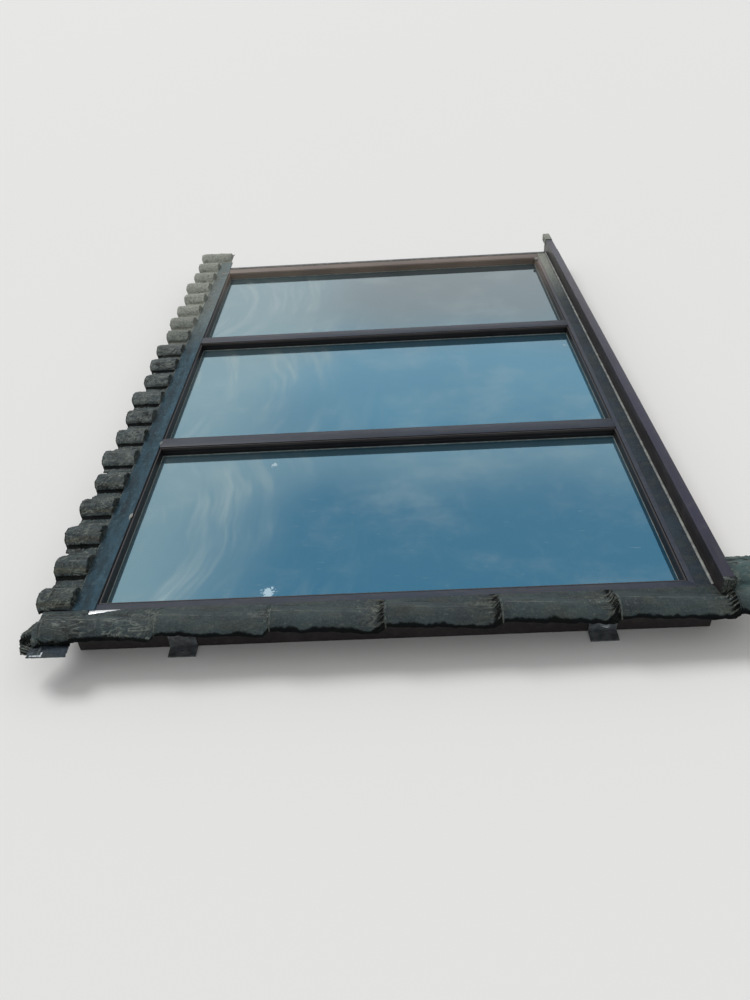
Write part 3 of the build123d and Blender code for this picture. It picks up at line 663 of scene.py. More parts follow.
def marked_with(tree, geometry, **values):
    """Stores each value on the points under its name."""
    for name, value in values.items():
        geometry = out(add(tree, "GeometryNodeStoreNamedAttribute", {
            "Geometry": geometry, "Name": name, "Value": value}, data_type="FLOAT", domain="POINT"))
    return geometry


print("trees end in Realize Instances and Set Material")


# %% The form over the rolls
def arc(radius, aside):
    """Height of a circle over its middle, at a distance aside."""
    return highest(radius ** 2 - aside * aside, 0.0).step("SQRT")


def over_rolls(y):
    """The roll that a point belongs to, how far its crown is, if the point is before it, and the height."""
    turns = (y - NEAR_ROLL_Y) / PITCH
    roll = (turns + 0.5).step("FLOOR")
    before = (turns - roll).step("LESS_THAN", 0.0)
    aside = abs((turns - roll) * PITCH)
    on_crown = arc(ROLL_R + LEAD, aside) + (CROWN_Z - ROLL_R)
    on_foot = (VALLEY_Z + FOOT_R) - arc(FOOT_R - LEAD, highest(SPREAD - aside, 0.0))
    past = aside.step("GREATER_THAN", ARC_END)
    return roll, aside, before, on_crown * (1.0 - past) + on_foot * past


def tongue_length(given, y, roll, aside):
    """Each roll's tongue has a length of its own, a wandering edge and rounded corners."""
    wander = noise(vector(roll.tree, given["Seed"], y, roll * 3.1), 26, 3) - 0.5
    length = given["Tongue"] + (roll * SWING_TURN).step("SINE") * TONGUE_SWING
    length = length + wander * 2.4 * given["Ragged"] - smooth(aside, 0.03, 0.06) * given["Rounded"]
    return length - roll.step("LESS_THAN", 1.5) * given["First shorter"]


print("a roll every", PITCH, "m from", NEAR_ROLL_Y)


# %% The tree for dressed sheet
def dressed_tree():
    tree, given = new_tree("dressed_over_rolls", {
        "Inner x": STRIP_EDGE_X, "Strip": FLAT, "Climb": CLIMB, "Tongue": TONGUE, "Low y": -1.0,
        "High y": 1.0, "Across": 60, "Along": 200, "Ragged": 0.0035, "Rounded": 0.011, "First shorter": 0.0,
        "Lean": 0.0055, "Tear": 0.016, "Droop": 0.0035, "Dirt": 1.0, "Seed": 0.0})
    strip, climb = given["Strip"], given["Climb"]
    reach = strip + climb + given["Tongue"]
    width = given["High y"] - given["Low y"]
    grid = add(tree, "GeometryNodeMeshGrid", {
        "Size X": reach, "Size Y": width, "Vertices X": given["Across"], "Vertices Y": given["Along"]})
    gx, gy, _ = axes(out(add(tree, "GeometryNodeInputPosition")))
    run = reach * 0.5 - gx
    y = gy + width * 0.5 + given["Low y"]
    roll, aside, before, roll_z = over_rolls(y)
    # how far up the blunt tile ends the sheet has climbed, and along its tongue
    climbed = highest((run - strip) / highest(climb, 0.0001), 0.0).step("MINIMUM", 1.0)
    lift = smooth(climbed, 0.05, 0.95)
    on_tongue = highest((run - strip - climb) / given["Tongue"], 0.0)
    torn = (noise(vector(tree, given["Seed"] + 9, y, roll * 1.7), 58, 3) - 0.5) * given["Tear"]
    x = given["Inner x"] - run.step("MINIMUM", strip) - climbed * given["Lean"]
    x = x - on_tongue * tongue_length(given, y, roll, aside)
    x = x - torn * smooth(climbed, 0.1, 0.6) * fades(on_tongue, 0.0, 0.8)
    droop = smooth(on_tongue, 0.9, 1.0) * given["Droop"]
    z = (TOP_Z + LEAD) * (1.0 - lift) + roll_z * lift - droop
    # what is stored here is worked out on the flat grid, so it comes before the points are moved
    # blunt, foot and lip are painted shade: on the blunt ends, at the foot of each roll and at the tongue's
    # end
    blunt = climbed.step("GREATER_THAN", 0.06) * fades(climbed, 0.8, 1.0) * fades(aside, 0.048, 0.056)
    foot = smooth(aside, 0.04, 0.048) * fades(aside, 0.056, 0.066) * lift * (before * 0.55 + 0.45)
    lip = smooth(on_tongue, 0.93, 0.99) * 0.75
    flank = smooth(aside, 0.024, 0.032) * fades(aside, 0.036, 0.042) * lift
    marked = marked_with(
        tree, out(grid), loose=smooth(run, strip * 0.8, strip + 0.012) * 0.9 + 0.1,
        strip=fades(run, strip - 0.001, strip + 0.0014),
        grime=highest(blunt * 0.52, foot, lip) * given["Dirt"],
        tint=flank * (before * 0.75 + 0.25) * given["Dirt"])
    shaped = add(tree, "GeometryNodeSetPosition", {"Geometry": marked, "Position": vector(tree, x, y, z)})
    close_tree(tree, out(shaped), given["Material"])
    return tree


DRESSED = dressed_tree()
print("dressed sheet tree with", len(DRESSED.nodes), "nodes")

# %% [markdown]
# ## Geometry Nodes: creases
# Soft metal sheet that is beaten over a curve buckles. Noises make that here: soft dents, and three
# families of narrow ridges that get finer and finer. A ridge is where a noise passes its middle value, so
# it runs on as a thin line. The attribute loose says how much of it each point gets.


# %% The tree for creases
def crease_tree():
    tree, given = new_tree("creases", {
        "Depth": 0.0022, "Fineness": 1.0, "Lengthwise": 1.0, "Sunk": 0.0, "Seed": 0.0}, takes_geometry=True)
    loose = out(add(tree, "GeometryNodeInputNamedAttribute", {"Name": "loose"}, data_type="FLOAT"))
    x, y, z = axes(out(add(tree, "GeometryNodeInputPosition")))
    here = vector(tree, x * given["Lengthwise"] + given["Seed"], y, z)
    fineness = given["Fineness"]
    dents = noise(here, fineness * 24, 1) - 0.5
    first = wrinkles(here, fineness * 24, 0.04, (1, 0.8, 1.1), 0.8)
    second = wrinkles(here, fineness * 46, 0.055, (0.7, 1.25, 1), 1.5)
    third = wrinkles(here, fineness * 80, 0.07, (1.1, 0.8, 1), 1.9)
    where = patches(here, fineness * 13, 0.36, 0.62, 1)
    sharp = (first * 0.62 + second * 0.42 * where + third * 0.24) * loose
    rise = (sharp + dents * 1.5 * loose - given["Sunk"]) * given["Depth"]
    normal = out(add(tree, "GeometryNodeInputNormal"))
    push = out(add(tree, "ShaderNodeVectorMath", {0: normal, "Scale": rise}, operation="SCALE"))
    # crease marks the ridges for a painted highlight, hollow the dents for a painted shade
    marked = marked_with(
        tree, given["Geometry"], crease=smooth(sharp, 0.35, 0.95),
        hollow=smooth(dents * -1.0 - sharp * 0.25, 0.02, 0.16) * loose * where)
    moved = add(tree, "GeometryNodeSetPosition", {"Geometry": marked, "Offset": push})
    close_tree(tree, out(moved), given["Material"])
    return tree


CREASED = crease_tree()
print("crease tree with", len(CREASED.nodes), "nodes")

# %% [markdown]
# ## From modifiers to a plain mesh
# A modifier's input is set by its identifier before the object is first evaluated. The evaluated result
# is then copied to a plain mesh, so that the finished piece has no modifier left.


# %% Finishing a sheet
SHARP = math.radians(50)


def use_tree(thing, tree, slot, **inputs):
    """Puts a tree on a piece, with its material and its sizes."""
    modifier = thing.modifiers.new(tree.name, "NODES")
    modifier.node_group = tree
    names = {s.name: s.identifier for s in tree.interface.items_tree if s.in_out == "INPUT"}
    modifier[names["Material"]] = finish[slot]
    for label, item in inputs.items():
        modifier[names[label.replace("_", " ")]] = item


def plain_mesh(thing, sharp=SHARP):
    """The evaluated shape as a plain mesh, with smooth faces and sharp folds."""
    bpy.context.view_layer.update()
    evaluated = thing.evaluated_get(bpy.context.evaluated_depsgraph_get())
    mesh = bpy.data.meshes.new_from_object(evaluated)
    thing.modifiers.clear()
    thing.data = mesh
    mesh.shade_smooth()
    mesh.set_sharp_from_angle(angle=sharp)


def thing_from(name, points=(), faces=(), material=None):
    mesh = bpy.data.meshes.new(name)
    mesh.from_pydata([tuple(p) for p in points], [], [tuple(f) for f in faces])
    if material:
        mesh.materials.append(material)
    return put(name, mesh)


def thicken(thing, thickness):
    """Gives a sheet its thickness below the drawn face."""
    solid = thing.modifiers.new("thickness", "SOLIDIFY")
    solid.thickness = thickness
    solid.offset = -1.0


def hand_over(thing, node_names, sharp=SHARP):
    """The finished piece, as a plain mesh, rides on the one body and stands for its CAD nodes."""
    plain_mesh(thing, sharp)
    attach(thing, "root")
    if node_names:
        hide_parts(*node_names)
    print(thing.name, len(thing.data.polygons), "faces")


# %% Aprons and corner leads
SHEET_STEP = 0.0026
APRON = (STRIP_EDGE_X, FLAT, CLIMB, TONGUE - 0.0065)
# the last column scales the painted shade at the edges and the ochre tint
sheets = [
    ("near", "sill_apron_near", *APRON, LEAD_EDGE_Y + 0.0006, -0.4597, 1.0, 1.0),
    ("middle", "sill_apron_middle", *APRON, -0.4593, 0.4255, 4.0, 1.0),
    ("far", "sill_apron_far", *APRON, 0.4258, 1.458, 7.0, 1.0),
    ("far_corner", "far_corner_lead", -0.852, 0.0, 0.0, 0.16, 1.4583, 1.5935, 11.0, 0.6),
    ("head_corner", "head_corner_lead", SIDE_END, 0.0, 0.0, 0.113, -1.3605, -1.197, 15.0, 0.2),
]
for label, node_name, inner, strip, climb, tongue, low, high, seed, dirt in sheets:
    sheet = thing_from("dressed_lead_" + label)
    use_tree(sheet, DRESSED, "lead_sheet", Inner_x=inner, Strip=strip, Climb=climb, Tongue=tongue,
             Low_y=low, High_y=high, Seed=seed, Dirt=dirt, First_shorter=0.013 if label == "near" else 0.0,
             Across=round((strip + climb + tongue) / SHEET_STEP), Along=round((high - low) / SHEET_STEP))
    use_tree(sheet, CREASED, "lead_sheet", Seed=seed, Depth=0.0034)
    thicken(sheet, LEAD)
    hand_over(sheet, [node_name])

# %% [markdown]
# ## The side flashing
# Beside the near jamb the lead lies flat on the cover, climbs one roll and hangs over its far flank. It
# steps up at every course of tiles, and the roofer gathered the spare lead before each step. Its section
# changes all the way along, so it is made as rows of points: each column is one section of the sheet.

# %% Side flashing: sections
SIDE_START = -0.985
TALL = 0.035
SHORT = 0.013
FLANK = math.radians(60)
ARC_SHARE = 0.9
SIDE_TURN = math.acos(1 - ARC_SHARE * SHORT / (ROLL_R + FOOT_R))
SIDE_ROWS = 54
RAMP = 0.024
BENT_END_X = -0.862
KERB_EDGE_Y = -1.3616
NOSES = [FIRST_NOSE + GAUGE * k for k in range(7)]


def rise_at(x):
    """Height of the crown over the frame's top: it jumps up at a nose and falls to the next."""
    if x < FIRST_NOSE:
        return SHORT + 0.014 * (1 - ((FIRST_NOSE - x) / 0.025) ** 2)
    share = ((x - FIRST_NOSE) / GAUGE) % 1.0
    drawn_up = max(0.0, 1 - (1 - share) * GAUGE / RAMP)
    return TALL - share * (TALL - SHORT) + drawn_up ** 1.5 * (TALL - SHORT)


def section(rise, end_angle):
    """(y, z) along the top face of the sheet, from the jamb over the crown and down the flank."""
    slope = max(rise - ARC_SHARE * SHORT, 0.0) / math.sin(SIDE_TURN)
    spread = (ROLL_R + FOOT_R) * math.sin(SIDE_TURN) + slope * math.cos(SIDE_TURN)
    foot, crown = FOOT_R - LEAD, ROLL_R + LEAD
    axis_z = TOP_Z + rise - ROLL_R
    points = [(LEAD_EDGE_Y, TOP_Z + LEAD)]
    for a in np.linspace(0, SIDE_TURN, 8):
        points.append((NEAR_CROWN_Y + spread - foot * math.sin(a), TOP_Z + FOOT_R - foot * math.cos(a)))
    for a in np.linspace(SIDE_TURN, -end_angle, 40):
        points.append((NEAR_CROWN_Y + crown * math.sin(a), axis_z + crown * math.cos(a)))
    return np.array(points)


def resampled(points, y_limit, count):
    """The part of a section that lies below y_limit, as count evenly spaced points."""
    length = np.concatenate([[0], np.cumsum(np.hypot(*np.diff(points, axis=0).T))])
    start_at = np.interp(-y_limit, -points[:, 0], length)
    at = np.linspace(start_at, length[-1], count)
    return np.column_stack([np.interp(at, length, points[:, i]) for i in (0, 1)]), at - start_at


print("side flashing with", len(NOSES), "courses")

# %% Side flashing: wandering edges
WOBBLES = 4096


def wobble(x, scale, seed):
    """Smooth seeded noise along a line, from -1 to 1."""
    spots = np.random.default_rng(seed).uniform(-1, 1, WOBBLES)
    at = (np.asarray(x) + 2.0) / scale
    low = np.floor(at).astype(int)
    share = at - low
    share = share * share * (3 - 2 * share)
    return spots[low % WOBBLES] * (1 - share) + spots[(low + 1) % WOBBLES] * share


def edge_y(x):
    """Inner edge of the side flashing: jagged, back behind the bare strip and beside the kerb."""
    y = LEAD_EDGE_Y + 0.0035 * wobble(x, 0.018, 1) + 0.003 * wobble(x, 0.07, 2)
    if STRIP_START - 0.0004 < x < STRIP_START + STRIP_LENGTH + 0.0003:
        share = (x - STRIP_START) / STRIP_LENGTH
        y = min(y, LEAD_EDGE_Y - 0.0185 + 0.0165 * share + 0.001 * wobble(x, 0.006, 9))
    if x > OUTER_X - 0.0004:
        y = min(y, KERB_EDGE_Y)
    return min(y, LEAD_EDGE_Y + 0.002)


columns = list(np.arange(SIDE_START, SIDE_END, 0.004)) + [SIDE_END]
for nose in NOSES:
    columns += [nose - LEAD, nose] + list(np.arange(nose - 0.03, nose, 0.002))
columns = sorted(set(round(x, 5) for x in columns))
rows, lengths = [], []
for x in columns:
    end_angle = FLANK + 0.05 * wobble(x, 0.016, 3) + 0.04 * wobble(x, 0.055, 4)
    # before BENT_END_X the flank hangs further down, so that its dark edge stands in for the shadow under
    # the flashing
    end_angle += 0.24 * min(1.0, max(0.0, (BENT_END_X - x) / 0.03))
    points, at = resampled(section(rise_at(x), end_angle), edge_y(x), SIDE_ROWS)
    rows.append(np.column_stack([np.full(SIDE_ROWS, x), points]))
    lengths.append(at)
side = np.array(rows)
along = np.array(lengths)
print("side flashing sections", side.shape)

# %% Side flashing: gathers before each nose
GATHER_RUN = 0.055
GATHER_DEPTH = 0.004
GATHER_PITCH = 0.0125
SMOOTHER_FROM_X = -0.64
OCHRE_FROM_X = -0.3
DRAWN_FROM_X = -0.05
FAR_AWAY = 9.0


def surface_normals(grid):
    """The upward normal at each point of a grid."""
    n = np.cross(np.gradient(grid, axis=0), np.gradient(grid, axis=1))
    n /= np.maximum(np.linalg.norm(n, axis=2, keepdims=True), 1e-9)
    return n * np.sign(n[:, :, 2:3] + 1e-6)


def ridge_at(distance, width):
    """1 at the line itself, and softly less beside it."""
    return np.exp(-(distance / width) ** 2)


def nearest(distances, least):
    """For each point the smallest distance that isn't below the least."""
    return np.min([np.where(d >= least, d, FAR_AWAY) for d in distances], axis=0)


normals = surface_normals(side)
x_grid = side[:, :, 0]
to_nose = nearest([nose - LEAD - x_grid for nose in NOSES], 0)
from_nose = nearest([x_grid - nose for nose in NOSES], -1e-6)
near_nose = np.exp(-to_nose / GATHER_RUN * 1.6)
phase = along / GATHER_PITCH + 1.6 * wobble(x_grid, 0.05, 5) + 0.8 * wobble(along, 0.02, 6) - to_nose * 14
folds = 1 - np.abs(np.sin(math.pi * phase)) ** 0.7
rim = ridge_at(from_nose - 0.0015, 0.0022)
side = side + normals * (folds * near_nose * GATHER_DEPTH + rim * 0.0014)[:, :, None]
crumpled = np.clip(0.26 + 0.8 * near_nose + 0.6 * (x_grid < SMOOTHER_FROM_X), 0, 1)
crumpled *= np.clip(along / 0.012, 0.35, 1)
print("gathers up to", round(float((folds * near_nose).max() * GATHER_DEPTH * 1000), 2), "mm high")

# %% Side flashing: painted shade and ochre
# painted shade on the hanging edge, in the fold at the foot of the rise, on the faces of the noses and
# where the lead is drawn up before each nose
to_edge = along[:, -1:] - along
hang = 0.0125 + 0.005 * wobble(x_grid, 0.042, 7) + 0.0025 * wobble(x_grid, 0.013, 8)
side_shade = np.clip(1.25 - 0.75 * to_edge / hang, 0, 1)
foot_at = np.array([section(rise_at(x), FLANK)[1, 0] for x in columns])[:, None]
fold = ridge_at(side[:, :, 1] - foot_at + 0.004, 0.0022)
fold *= np.clip(0.5 + 0.9 * wobble(x_grid, 0.09, 10), 0, 1) * (x_grid > SMOOTHER_FROM_X)
face = ridge_at(from_nose, 0.0016) * (to_nose > 0.02)
drawn = np.clip(1.3 - (to_nose + LEAD) / (1.3 * RAMP), 0, 1) * (x_grid > DRAWN_FROM_X)
side_shade = np.clip(side_shade + 0.75 * fold + 0.6 * face + drawn * (0.22 + 0.75 * (1 - folds)), 0, 1)
ochre = np.clip(near_nose * 1.5 * (x_grid > OCHRE_FROM_X) - 0.15, 0, 1) * folds ** 0.5
print("dirt on", round(float((side_shade > 0.5).mean() * 100)), "% of the side flashing's points")


# %% Side flashing: mesh
def grid_faces(count_a, count_b):
    return [(i * count_b + j, (i + 1) * count_b + j, (i + 1) * count_b + j + 1, i * count_b + j + 1)
            for i in range(count_a - 1) for j in range(count_b - 1)]


def give(thing, **marks):
    for name, values in marks.items():
        made = thing.data.attributes.new(name, "FLOAT", "POINT")
        made.data.foreach_set("value", np.asarray(values, np.float32).ravel())


side_faces = [face[::-1] for face in grid_faces(len(columns), SIDE_ROWS)]
flashing = thing_from("dressed_lead_side", side.reshape(-1, 3), side_faces, finish["lead_sheet"])
give(flashing, loose=crumpled, grime=side_shade, tint=ochre)
use_tree(flashing, CREASED, "lead_sheet", Seed=21.0, Depth=0.0026, Fineness=1.25, Lengthwise=0.45)
thicken(flashing, LEAD)
hand_over(flashing, ["near_side_flashing"])

# %% [markdown]
# ## Crumpled pieces
# The caps at both ends of the kerb keep the exact form of their CAD solids: a copy is remeshed to an even
# net of small faces and then creased. The tape in the valley, the scraps at the lower end and the torn flap
# are small sheets: a fine grid is drawn through a few given points.


# %% Crumpled caps
def copy_of(name, new_name):
    """A copy of a CAD node as one clean mesh: shared corners merged, flat faces joined."""
    mesh = cad[name].data.copy()
    mesh.name = new_name
    work = bmesh.new()
    work.from_mesh(mesh)
    bmesh.ops.remove_doubles(work, verts=work.verts, dist=1e-6)
    bmesh.ops.dissolve_limit(work, angle_limit=math.radians(1), verts=work.verts, edges=work.edges)
    work.to_mesh(mesh)
    work.free()
    return put(new_name, mesh)


def crumpled_cap(name, new_name, seed, depth, fineness, sunk):
    cap = copy_of(name, new_name)
    net = cap.modifiers.new("net", "REMESH")
    net.mode = "VOXEL"
    net.voxel_size = 0.0011
    plain_mesh(cap)
    spots = np.array([v.co for v in cap.data.vertices])
    dirt = np.clip(0.35 + 0.9 * wobble(spots[:, 0] * 3 + spots[:, 1], 0.006, seed), 0, 0.8)
    ochre = np.clip(0.2 + 0.8 * wobble(spots[:, 2] * 2 - spots[:, 1], 0.011, seed + 1), 0, 1)
    give(cap, loose=np.full(len(spots), 1.0), grime=dirt, tint=ochre)
    use_tree(cap, CREASED, "lead_sheet", Seed=float(seed), Depth=depth, Fineness=fineness, Sunk=sunk)
    hand_over(cap, [name])


crumpled_cap("head_near_cap", "crumpled_cap_near", 31, 0.0024, 2.4, 0.55)
crumpled_cap("head_end_cap", "crumpled_cap_far", 37, 0.0018, 1.6, 0.6)


# %% Small sheets
def net_through(rows, across, along):
    """A fine grid through rows of given points, each row with the same number of points."""
    coarse = np.array(rows, float)
    for axis, count in ((0, across), (1, along)):
        old = np.linspace(0, 1, coarse.shape[axis])
        new = np.linspace(0, 1, count)
        coarse = np.apply_along_axis(lambda line: np.interp(new, old, line), axis, coarse)
    for _ in range(4):
        coarse[1:-1] = (coarse[:-2] + coarse[1:-1] * 2 + coarse[2:]) / 4
        coarse[:, 1:-1] = (coarse[:, :-2] + coarse[:, 1:-1] * 2 + coarse[:, 2:]) / 4
    return coarse


def small_sheet(name, rows, seed, depth, fineness, slot, nodes=(), thickness=LEAD, step=0.0016, **values):
    across, along = [
        max(8, round(np.linalg.norm(np.diff(rows, axis=axis), axis=2).sum(axis=axis).max() / step))
        for axis in (0, 1)]
    net = net_through(rows, across, along)
    ragged = 0.0016 * wobble(np.arange(along), 2.2, seed)
    net[0, :, 0] += ragged
    net[-1, :, 0] += ragged[::-1]
    sheet = thing_from(name, net.reshape(-1, 3), grid_faces(across, along), finish[slot])
    spots = net.reshape(-1, 3)
    for label in ("loose", "grime", "tint", "bare"):
        rule = values.get(label, 0.0)
        give(sheet, **{label: rule(spots) if callable(rule) else np.full(len(spots), rule)})
    use_tree(sheet, CREASED, slot, Seed=float(seed), Depth=depth, Fineness=fineness)
    thicken(sheet, thickness)
    hand_over(sheet, list(nodes))


PATCH_X = (-0.99, -0.882)
PATCH_Y = (-1.4823, -1.4303)
PATCH_Z = 0.1077
PATCH_FOLD_X = -0.95


def bare_edges(spots):
    """Bright metal along the lower edge of the patch and up one fold."""
    x, y = spots[:, 0], spots[:, 1]
    edge = np.abs(y - PATCH_Y[0] - 0.0065) < 0.0028 + 0.0014 * wobble(x, 0.005, 51)
    edge = edge & (x > -0.982) & (x < -0.952)
    fold = (np.abs(x + 0.951) < 0.0016) & (y < PATCH_Y[0] + 0.02) & (y > PATCH_Y[0] + 0.003)
    return (edge | fold) * 0.85


small_sheet(
    "valley_patch", [[(x, y, PATCH_Z) for y in PATCH_Y] for x in (PATCH_X[0], PATCH_FOLD_X, PATCH_X[1])],
    41, 0.0018, 1.8, "lead_tape", ["corner_patch"], 0.0015, bare=bare_edges,
    loose=lambda spots: np.clip((-0.925 - spots[:, 0]) / 0.03, 0.35, 1.0),
    # the part of the patch nearest the flashing gets a painted shadow of it
    grime=lambda spots: np.clip((spots[:, 1] + 1.4455) / 0.01, 0, 0.9))


# %% Torn scraps
def scrap_darkening(spots):
    """The scrap is lighter near the flashing and darker, in patches, further from it."""
    patchy = 0.4 * wobble(spots[:, 0] * 2 + spots[:, 1], 0.006, 53)
    return np.clip((-1.395 - spots[:, 1]) / 0.022 + patchy, 0, 1)


def in_millimetres(*rows):
    return np.array(rows, float) / 1000


small_sheet("torn_end_upper", in_millimetres(
    [(-964, -1345, 124), (-972, -1370, 130), (-978, -1396, 133.5), (-980, -1420, 126), (-982, -1438, 112)],
    [(-985, -1352, 121.5), (-996, -1372, 124), (-1002, -1396, 124), (-1006, -1418, 116),
     (-1004, -1440, 102)],
    [(-998, -1362, 119), (-1012, -1380, 119.5), (-1025, -1400, 117.5), (-1027, -1420, 110),
     (-1024, -1438, 98)],
), 43, 0.0036, 2.4, "lead_sheet", loose=1.0, grime=scrap_darkening, tint=0.3)
small_sheet("torn_end_lower", in_millimetres(
    [(-980, -1418, 116), (-977, -1440, 107), (-974, -1464, 100)],
    [(-1000, -1420, 110), (-1002, -1442, 105), (-998, -1462, 98.5)],
    [(-1027, -1420, 109), (-1024, -1438, 98), (-1018, -1454, 94)],
), 47, 0.0042, 2.6, "lead_sheet", loose=1.0, tint=0.5,
    grime=lambda spots: np.clip(0.45 + 1.3 * wobble(spots[:, 1] * 2 + spots[:, 0], 0.0045, 55), 0, 1))
small_sheet("torn_flap", in_millimetres(
    [(545, -1408.5, 107.5), (547, -1414.5, 104.5), (549, -1418, 103.5)],
    [(559, -1409, 107.5), (563, -1423, 101), (565, -1437, 99.5)],
    [(577, -1414, 107.5), (583, -1428, 101), (585, -1443, 98.5)],
    [(588, -1422, 105.5), (590, -1430, 101.5), (592, -1437, 99.5)],
), 59, 0.0016, 2.6, "lead_sheet", thickness=0.0012, step=0.001, loose=0.8,
    bare=lambda spots: np.clip(0.42 + 0.5 * wobble(spots[:, 0] + spots[:, 1], 0.008, 57), 0, 0.8))

# %% [markdown]
# ## Geometry Nodes: beads of mastic
# A bead of mastic from a gun is never quite even. The tree draws a line, gives its points a small wander
# and a changing radius, and sweeps a rounded section along it.


# %% The tree for beads
def bead_tree():
    tree, given = new_tree("mastic_bead", {
        "Start": (0.0, 0.0, 0.0), "End": (0.0, 0.1, 0.0), "Radius": 0.004, "Wander": 0.0008, "Step": 0.006,
        "Flatness": 0.75, "Seed": 0.0})
    line = add(tree, "GeometryNodeCurvePrimitiveLine", {"Start": given["Start"], "End": given["End"]})
    points = add(tree, "GeometryNodeResampleCurve", {"Curve": out(line), "Length": given["Step"]},
                 mode="LENGTH")
    x, y, _ = axes(out(add(tree, "GeometryNodeInputPosition")))
    side_way = noise(vector(tree, x, y, given["Seed"]), 22) - 0.5
    other_way = noise(vector(tree, y, x, given["Seed"] + 7), 31) - 0.5
    wander = given["Wander"] * 2.0
    moved = add(tree, "GeometryNodeSetPosition", {
        "Geometry": out(points),
        "Offset": vector(tree, side_way * wander, other_way * wander, other_way * wander * 0.5)})
    size = noise(vector(tree, x, y, given["Seed"] + 3), 17, 3) * 0.5 + 0.75
    ring = add(tree, "GeometryNodeCurvePrimitiveCircle", {"Resolution": 14, "Radius": given["Radius"]})
    flat = add(tree, "GeometryNodeTransform", {
        "Geometry": out(ring), "Scale": vector(tree, 1.0, given["Flatness"], 1.0)})
    swept = add(tree, "GeometryNodeCurveToMesh", {
        "Curve": out(moved), "Profile Curve": out(flat), "Fill Caps": True, "Scale": size})
    close_tree(tree, out(swept), given["Material"])
    return tree


BEAD = bead_tree()
HEAD_BEAD = ((0.9033, -1.3165, 0.1222), (0.9033, 1.356, 0.1222))
FAR_BEAD = ((-0.839, 1.359, 0.1208), (0.893, 1.359, 0.1208))
beads = [
    ("mastic_bead_head", "mastic_head", *HEAD_BEAD, 0.0045, 0.95, 2.0),
    ("mastic_bead_far", "mastic_far", *FAR_BEAD, 0.0042, 0.85, 5.0),
]
for label, node_name, begin, end, radius, flatness, seed in beads:
    bead = thing_from(label)
    use_tree(bead, BEAD, "mastic", Start=begin, End=end, Radius=radius, Flatness=flatness, Seed=seed)
    hand_over(bead, [node_name])

# %% [markdown]
# ## Smears of sealant
# Where someone pressed on a loose edge or sealed a corner, a flat lump of sealant stayed on the cover. Each
# one is a sphere that is squashed nearly flat, with its outline pushed in and out by noise.

# %% Smears of sealant
SMEARS = [
    ((-0.846, -0.884, 0.1228), (0.004, 0.015, 0.0012)),
    ((-0.841, -0.44, 0.1236), (0.0035, 0.012, 0.001)),
    ((0.838, 1.272, 0.1212), (0.01, 0.015, 0.0028)),
    ((-0.862, 1.288, 0.1228), (0.016, 0.009, 0.0016)),
]
ball = bmesh.new()
bmesh.ops.create_icosphere(ball, subdivisions=4, radius=1.0)
spots, faces = [], []
for middle, radii in SMEARS:
    faces += [[len(spots) + v.index for v in face.verts] for face in ball.faces]
    for v in ball.verts:
        lump = 1 + 0.35 * float(wobble(v.co.x * 2 + v.co.y + middle[0] * 9, 0.5, 61))
        lump += 0.2 * float(wobble(v.co.y * 3, 0.3, 62))
        spots.append([middle[i] + v.co[i] * radii[i] * (lump if i < 2 else 1) for i in range(3)])
ball.free()
hand_over(thing_from("sealant_smears", spots, faces, finish["mastic"]), [])

# %% [markdown]
# ## Geometry Nodes: hexagon screws
# The brackets and cleats are held by sixteen screws. A tree builds one screw from four cylinders and stands
# it on each point of a small mesh. The attribute aim of a point says which way its head looks.

# %% Places of the screws
SCREW_R = 0.0024
HEAD_R = 0.0046
HEAD_HEIGHT = 0.0026
SCREW_LENGTH = 0.014
BRACKET_X = 0.6
BRACKET_PAIR = 0.022
BRACKET_FACE_Y = 1.3622
BRACKET_Z = 0.0372
CLEAT_Y = 0.441
CLEAT_WALL = (0.827, 0.012)
CLEAT_UNDER_BAR = (0.80768, 0.021)
places = []
for sy in (-1, 1):
    for sx in (-1, 1):
        for step in (-BRACKET_PAIR, BRACKET_PAIR):
            places.append(((sx * BRACKET_X + step, sy * BRACKET_FACE_Y, BRACKET_Z), (0, sy, 0)))
        for (x, z), aim in ((CLEAT_WALL, (-sx, 0, 0)), (CLEAT_UNDER_BAR, (0, 0, -1))):
            places.append(((sx * x, sy * CLEAT_Y, z), aim))
print(len(places), "screws")


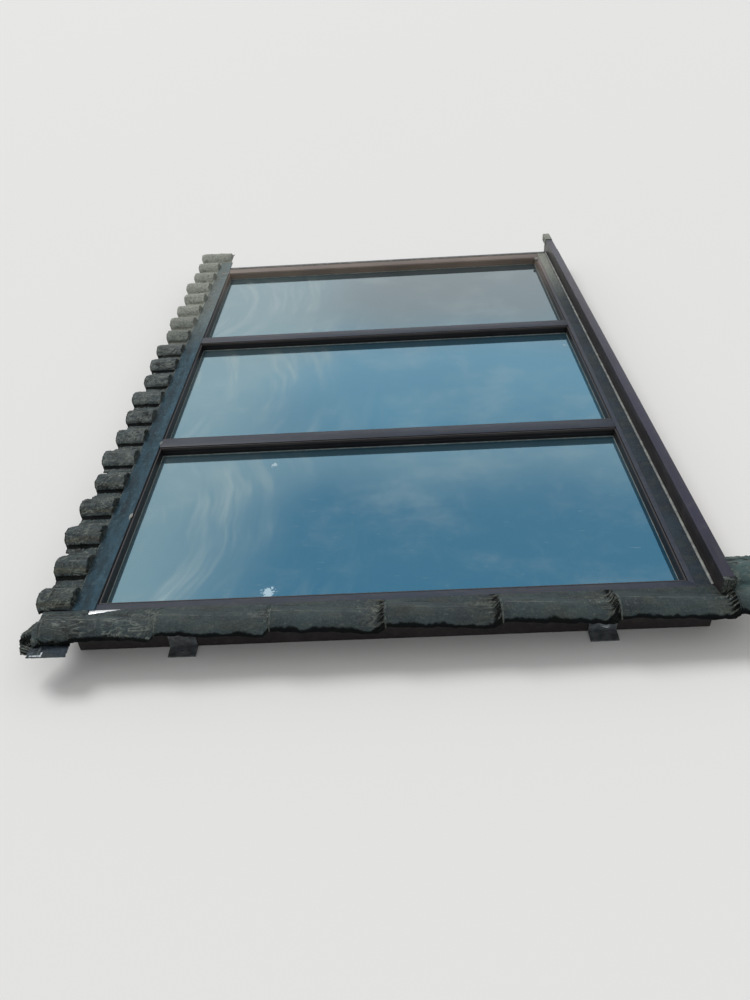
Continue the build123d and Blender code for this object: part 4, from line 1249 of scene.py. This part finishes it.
# %% The tree for screws
def screw_tree():
    tree, given = new_tree("hexagon_screws", {
        "Head radius": HEAD_R, "Head height": HEAD_HEIGHT, "Shank radius": SCREW_R, "Length": SCREW_LENGTH,
    }, takes_geometry=True)
    parts = add(tree, "GeometryNodeJoinGeometry")
    high = given["Head height"]
    stack = [
        (6, given["Head radius"], high * 0.86, high * 0.43 + 0.0001),
        (24, given["Head radius"] * 0.84, high, high * 0.5),
        (32, given["Head radius"] * 1.12, 0.0005, 0.00025),
        (20, given["Shank radius"], given["Length"], given["Length"] * -0.5),
    ]
    for corners, radius, height, middle in stack:
        solid = add(tree, "GeometryNodeMeshCylinder", {
            "Vertices": corners, "Radius": radius, "Depth": height})
        placed = add(tree, "GeometryNodeTransform", {
            "Geometry": out(solid), "Translation": vector(tree, 0.0, 0.0, middle)})
        tree.links.new(placed.outputs[0], parts.inputs[0])
    aim = add(tree, "GeometryNodeInputNamedAttribute", {"Name": "aim"}, data_type="FLOAT_VECTOR")
    turned = add(tree, "FunctionNodeAlignRotationToVector", {"Vector": out(aim)}, axis="Z")
    stood = add(tree, "GeometryNodeInstanceOnPoints", {
        "Points": given["Geometry"], "Instance": out(parts), "Rotation": out(turned)})
    close_tree(tree, out(stood), given["Material"])
    return tree


SCREWS = screw_tree()
screws = thing_from("hexagon_screws", [place for place, aim in places])
aims = screws.data.attributes.new("aim", "FLOAT_VECTOR", "POINT")
aims.data.foreach_set("vector", np.array([aim for place, aim in places], np.float32).ravel())
use_tree(screws, SCREWS, "steel")
hand_over(screws, ["fixing_screws"], math.radians(25))

# %% [markdown]
# ## Softened edges
# Bent sheet has no knife edges. The covers, the bar caps, the kerb and the bare strip get copies with
# narrow rounded edges, which catch a thin line of light.

# %% Softened edges
folded = ["cover_" + side for side in ("sill", "head", "near_jamb", "far_jamb")]
softened = dict.fromkeys(folded + ["bar_cap_near", "bar_cap_middle"], 0.001)
softened |= {"head_flashing": 0.0005, "bare_strip": 0.0003}
for node_name, width in softened.items():
    piece = copy_of(node_name, "soft_" + node_name)
    rounding = piece.modifiers.new("rounding", "BEVEL")
    rounding.width = width
    rounding.segments = 2
    rounding.limit_method = "ANGLE"
    rounding.angle_limit = math.radians(35)
    hand_over(piece, [node_name], math.radians(40))

# %% [markdown]
# ## Sizes and finish
# The box of the finished model is measured now.

# %% Sizes of the finished model
low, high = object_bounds()
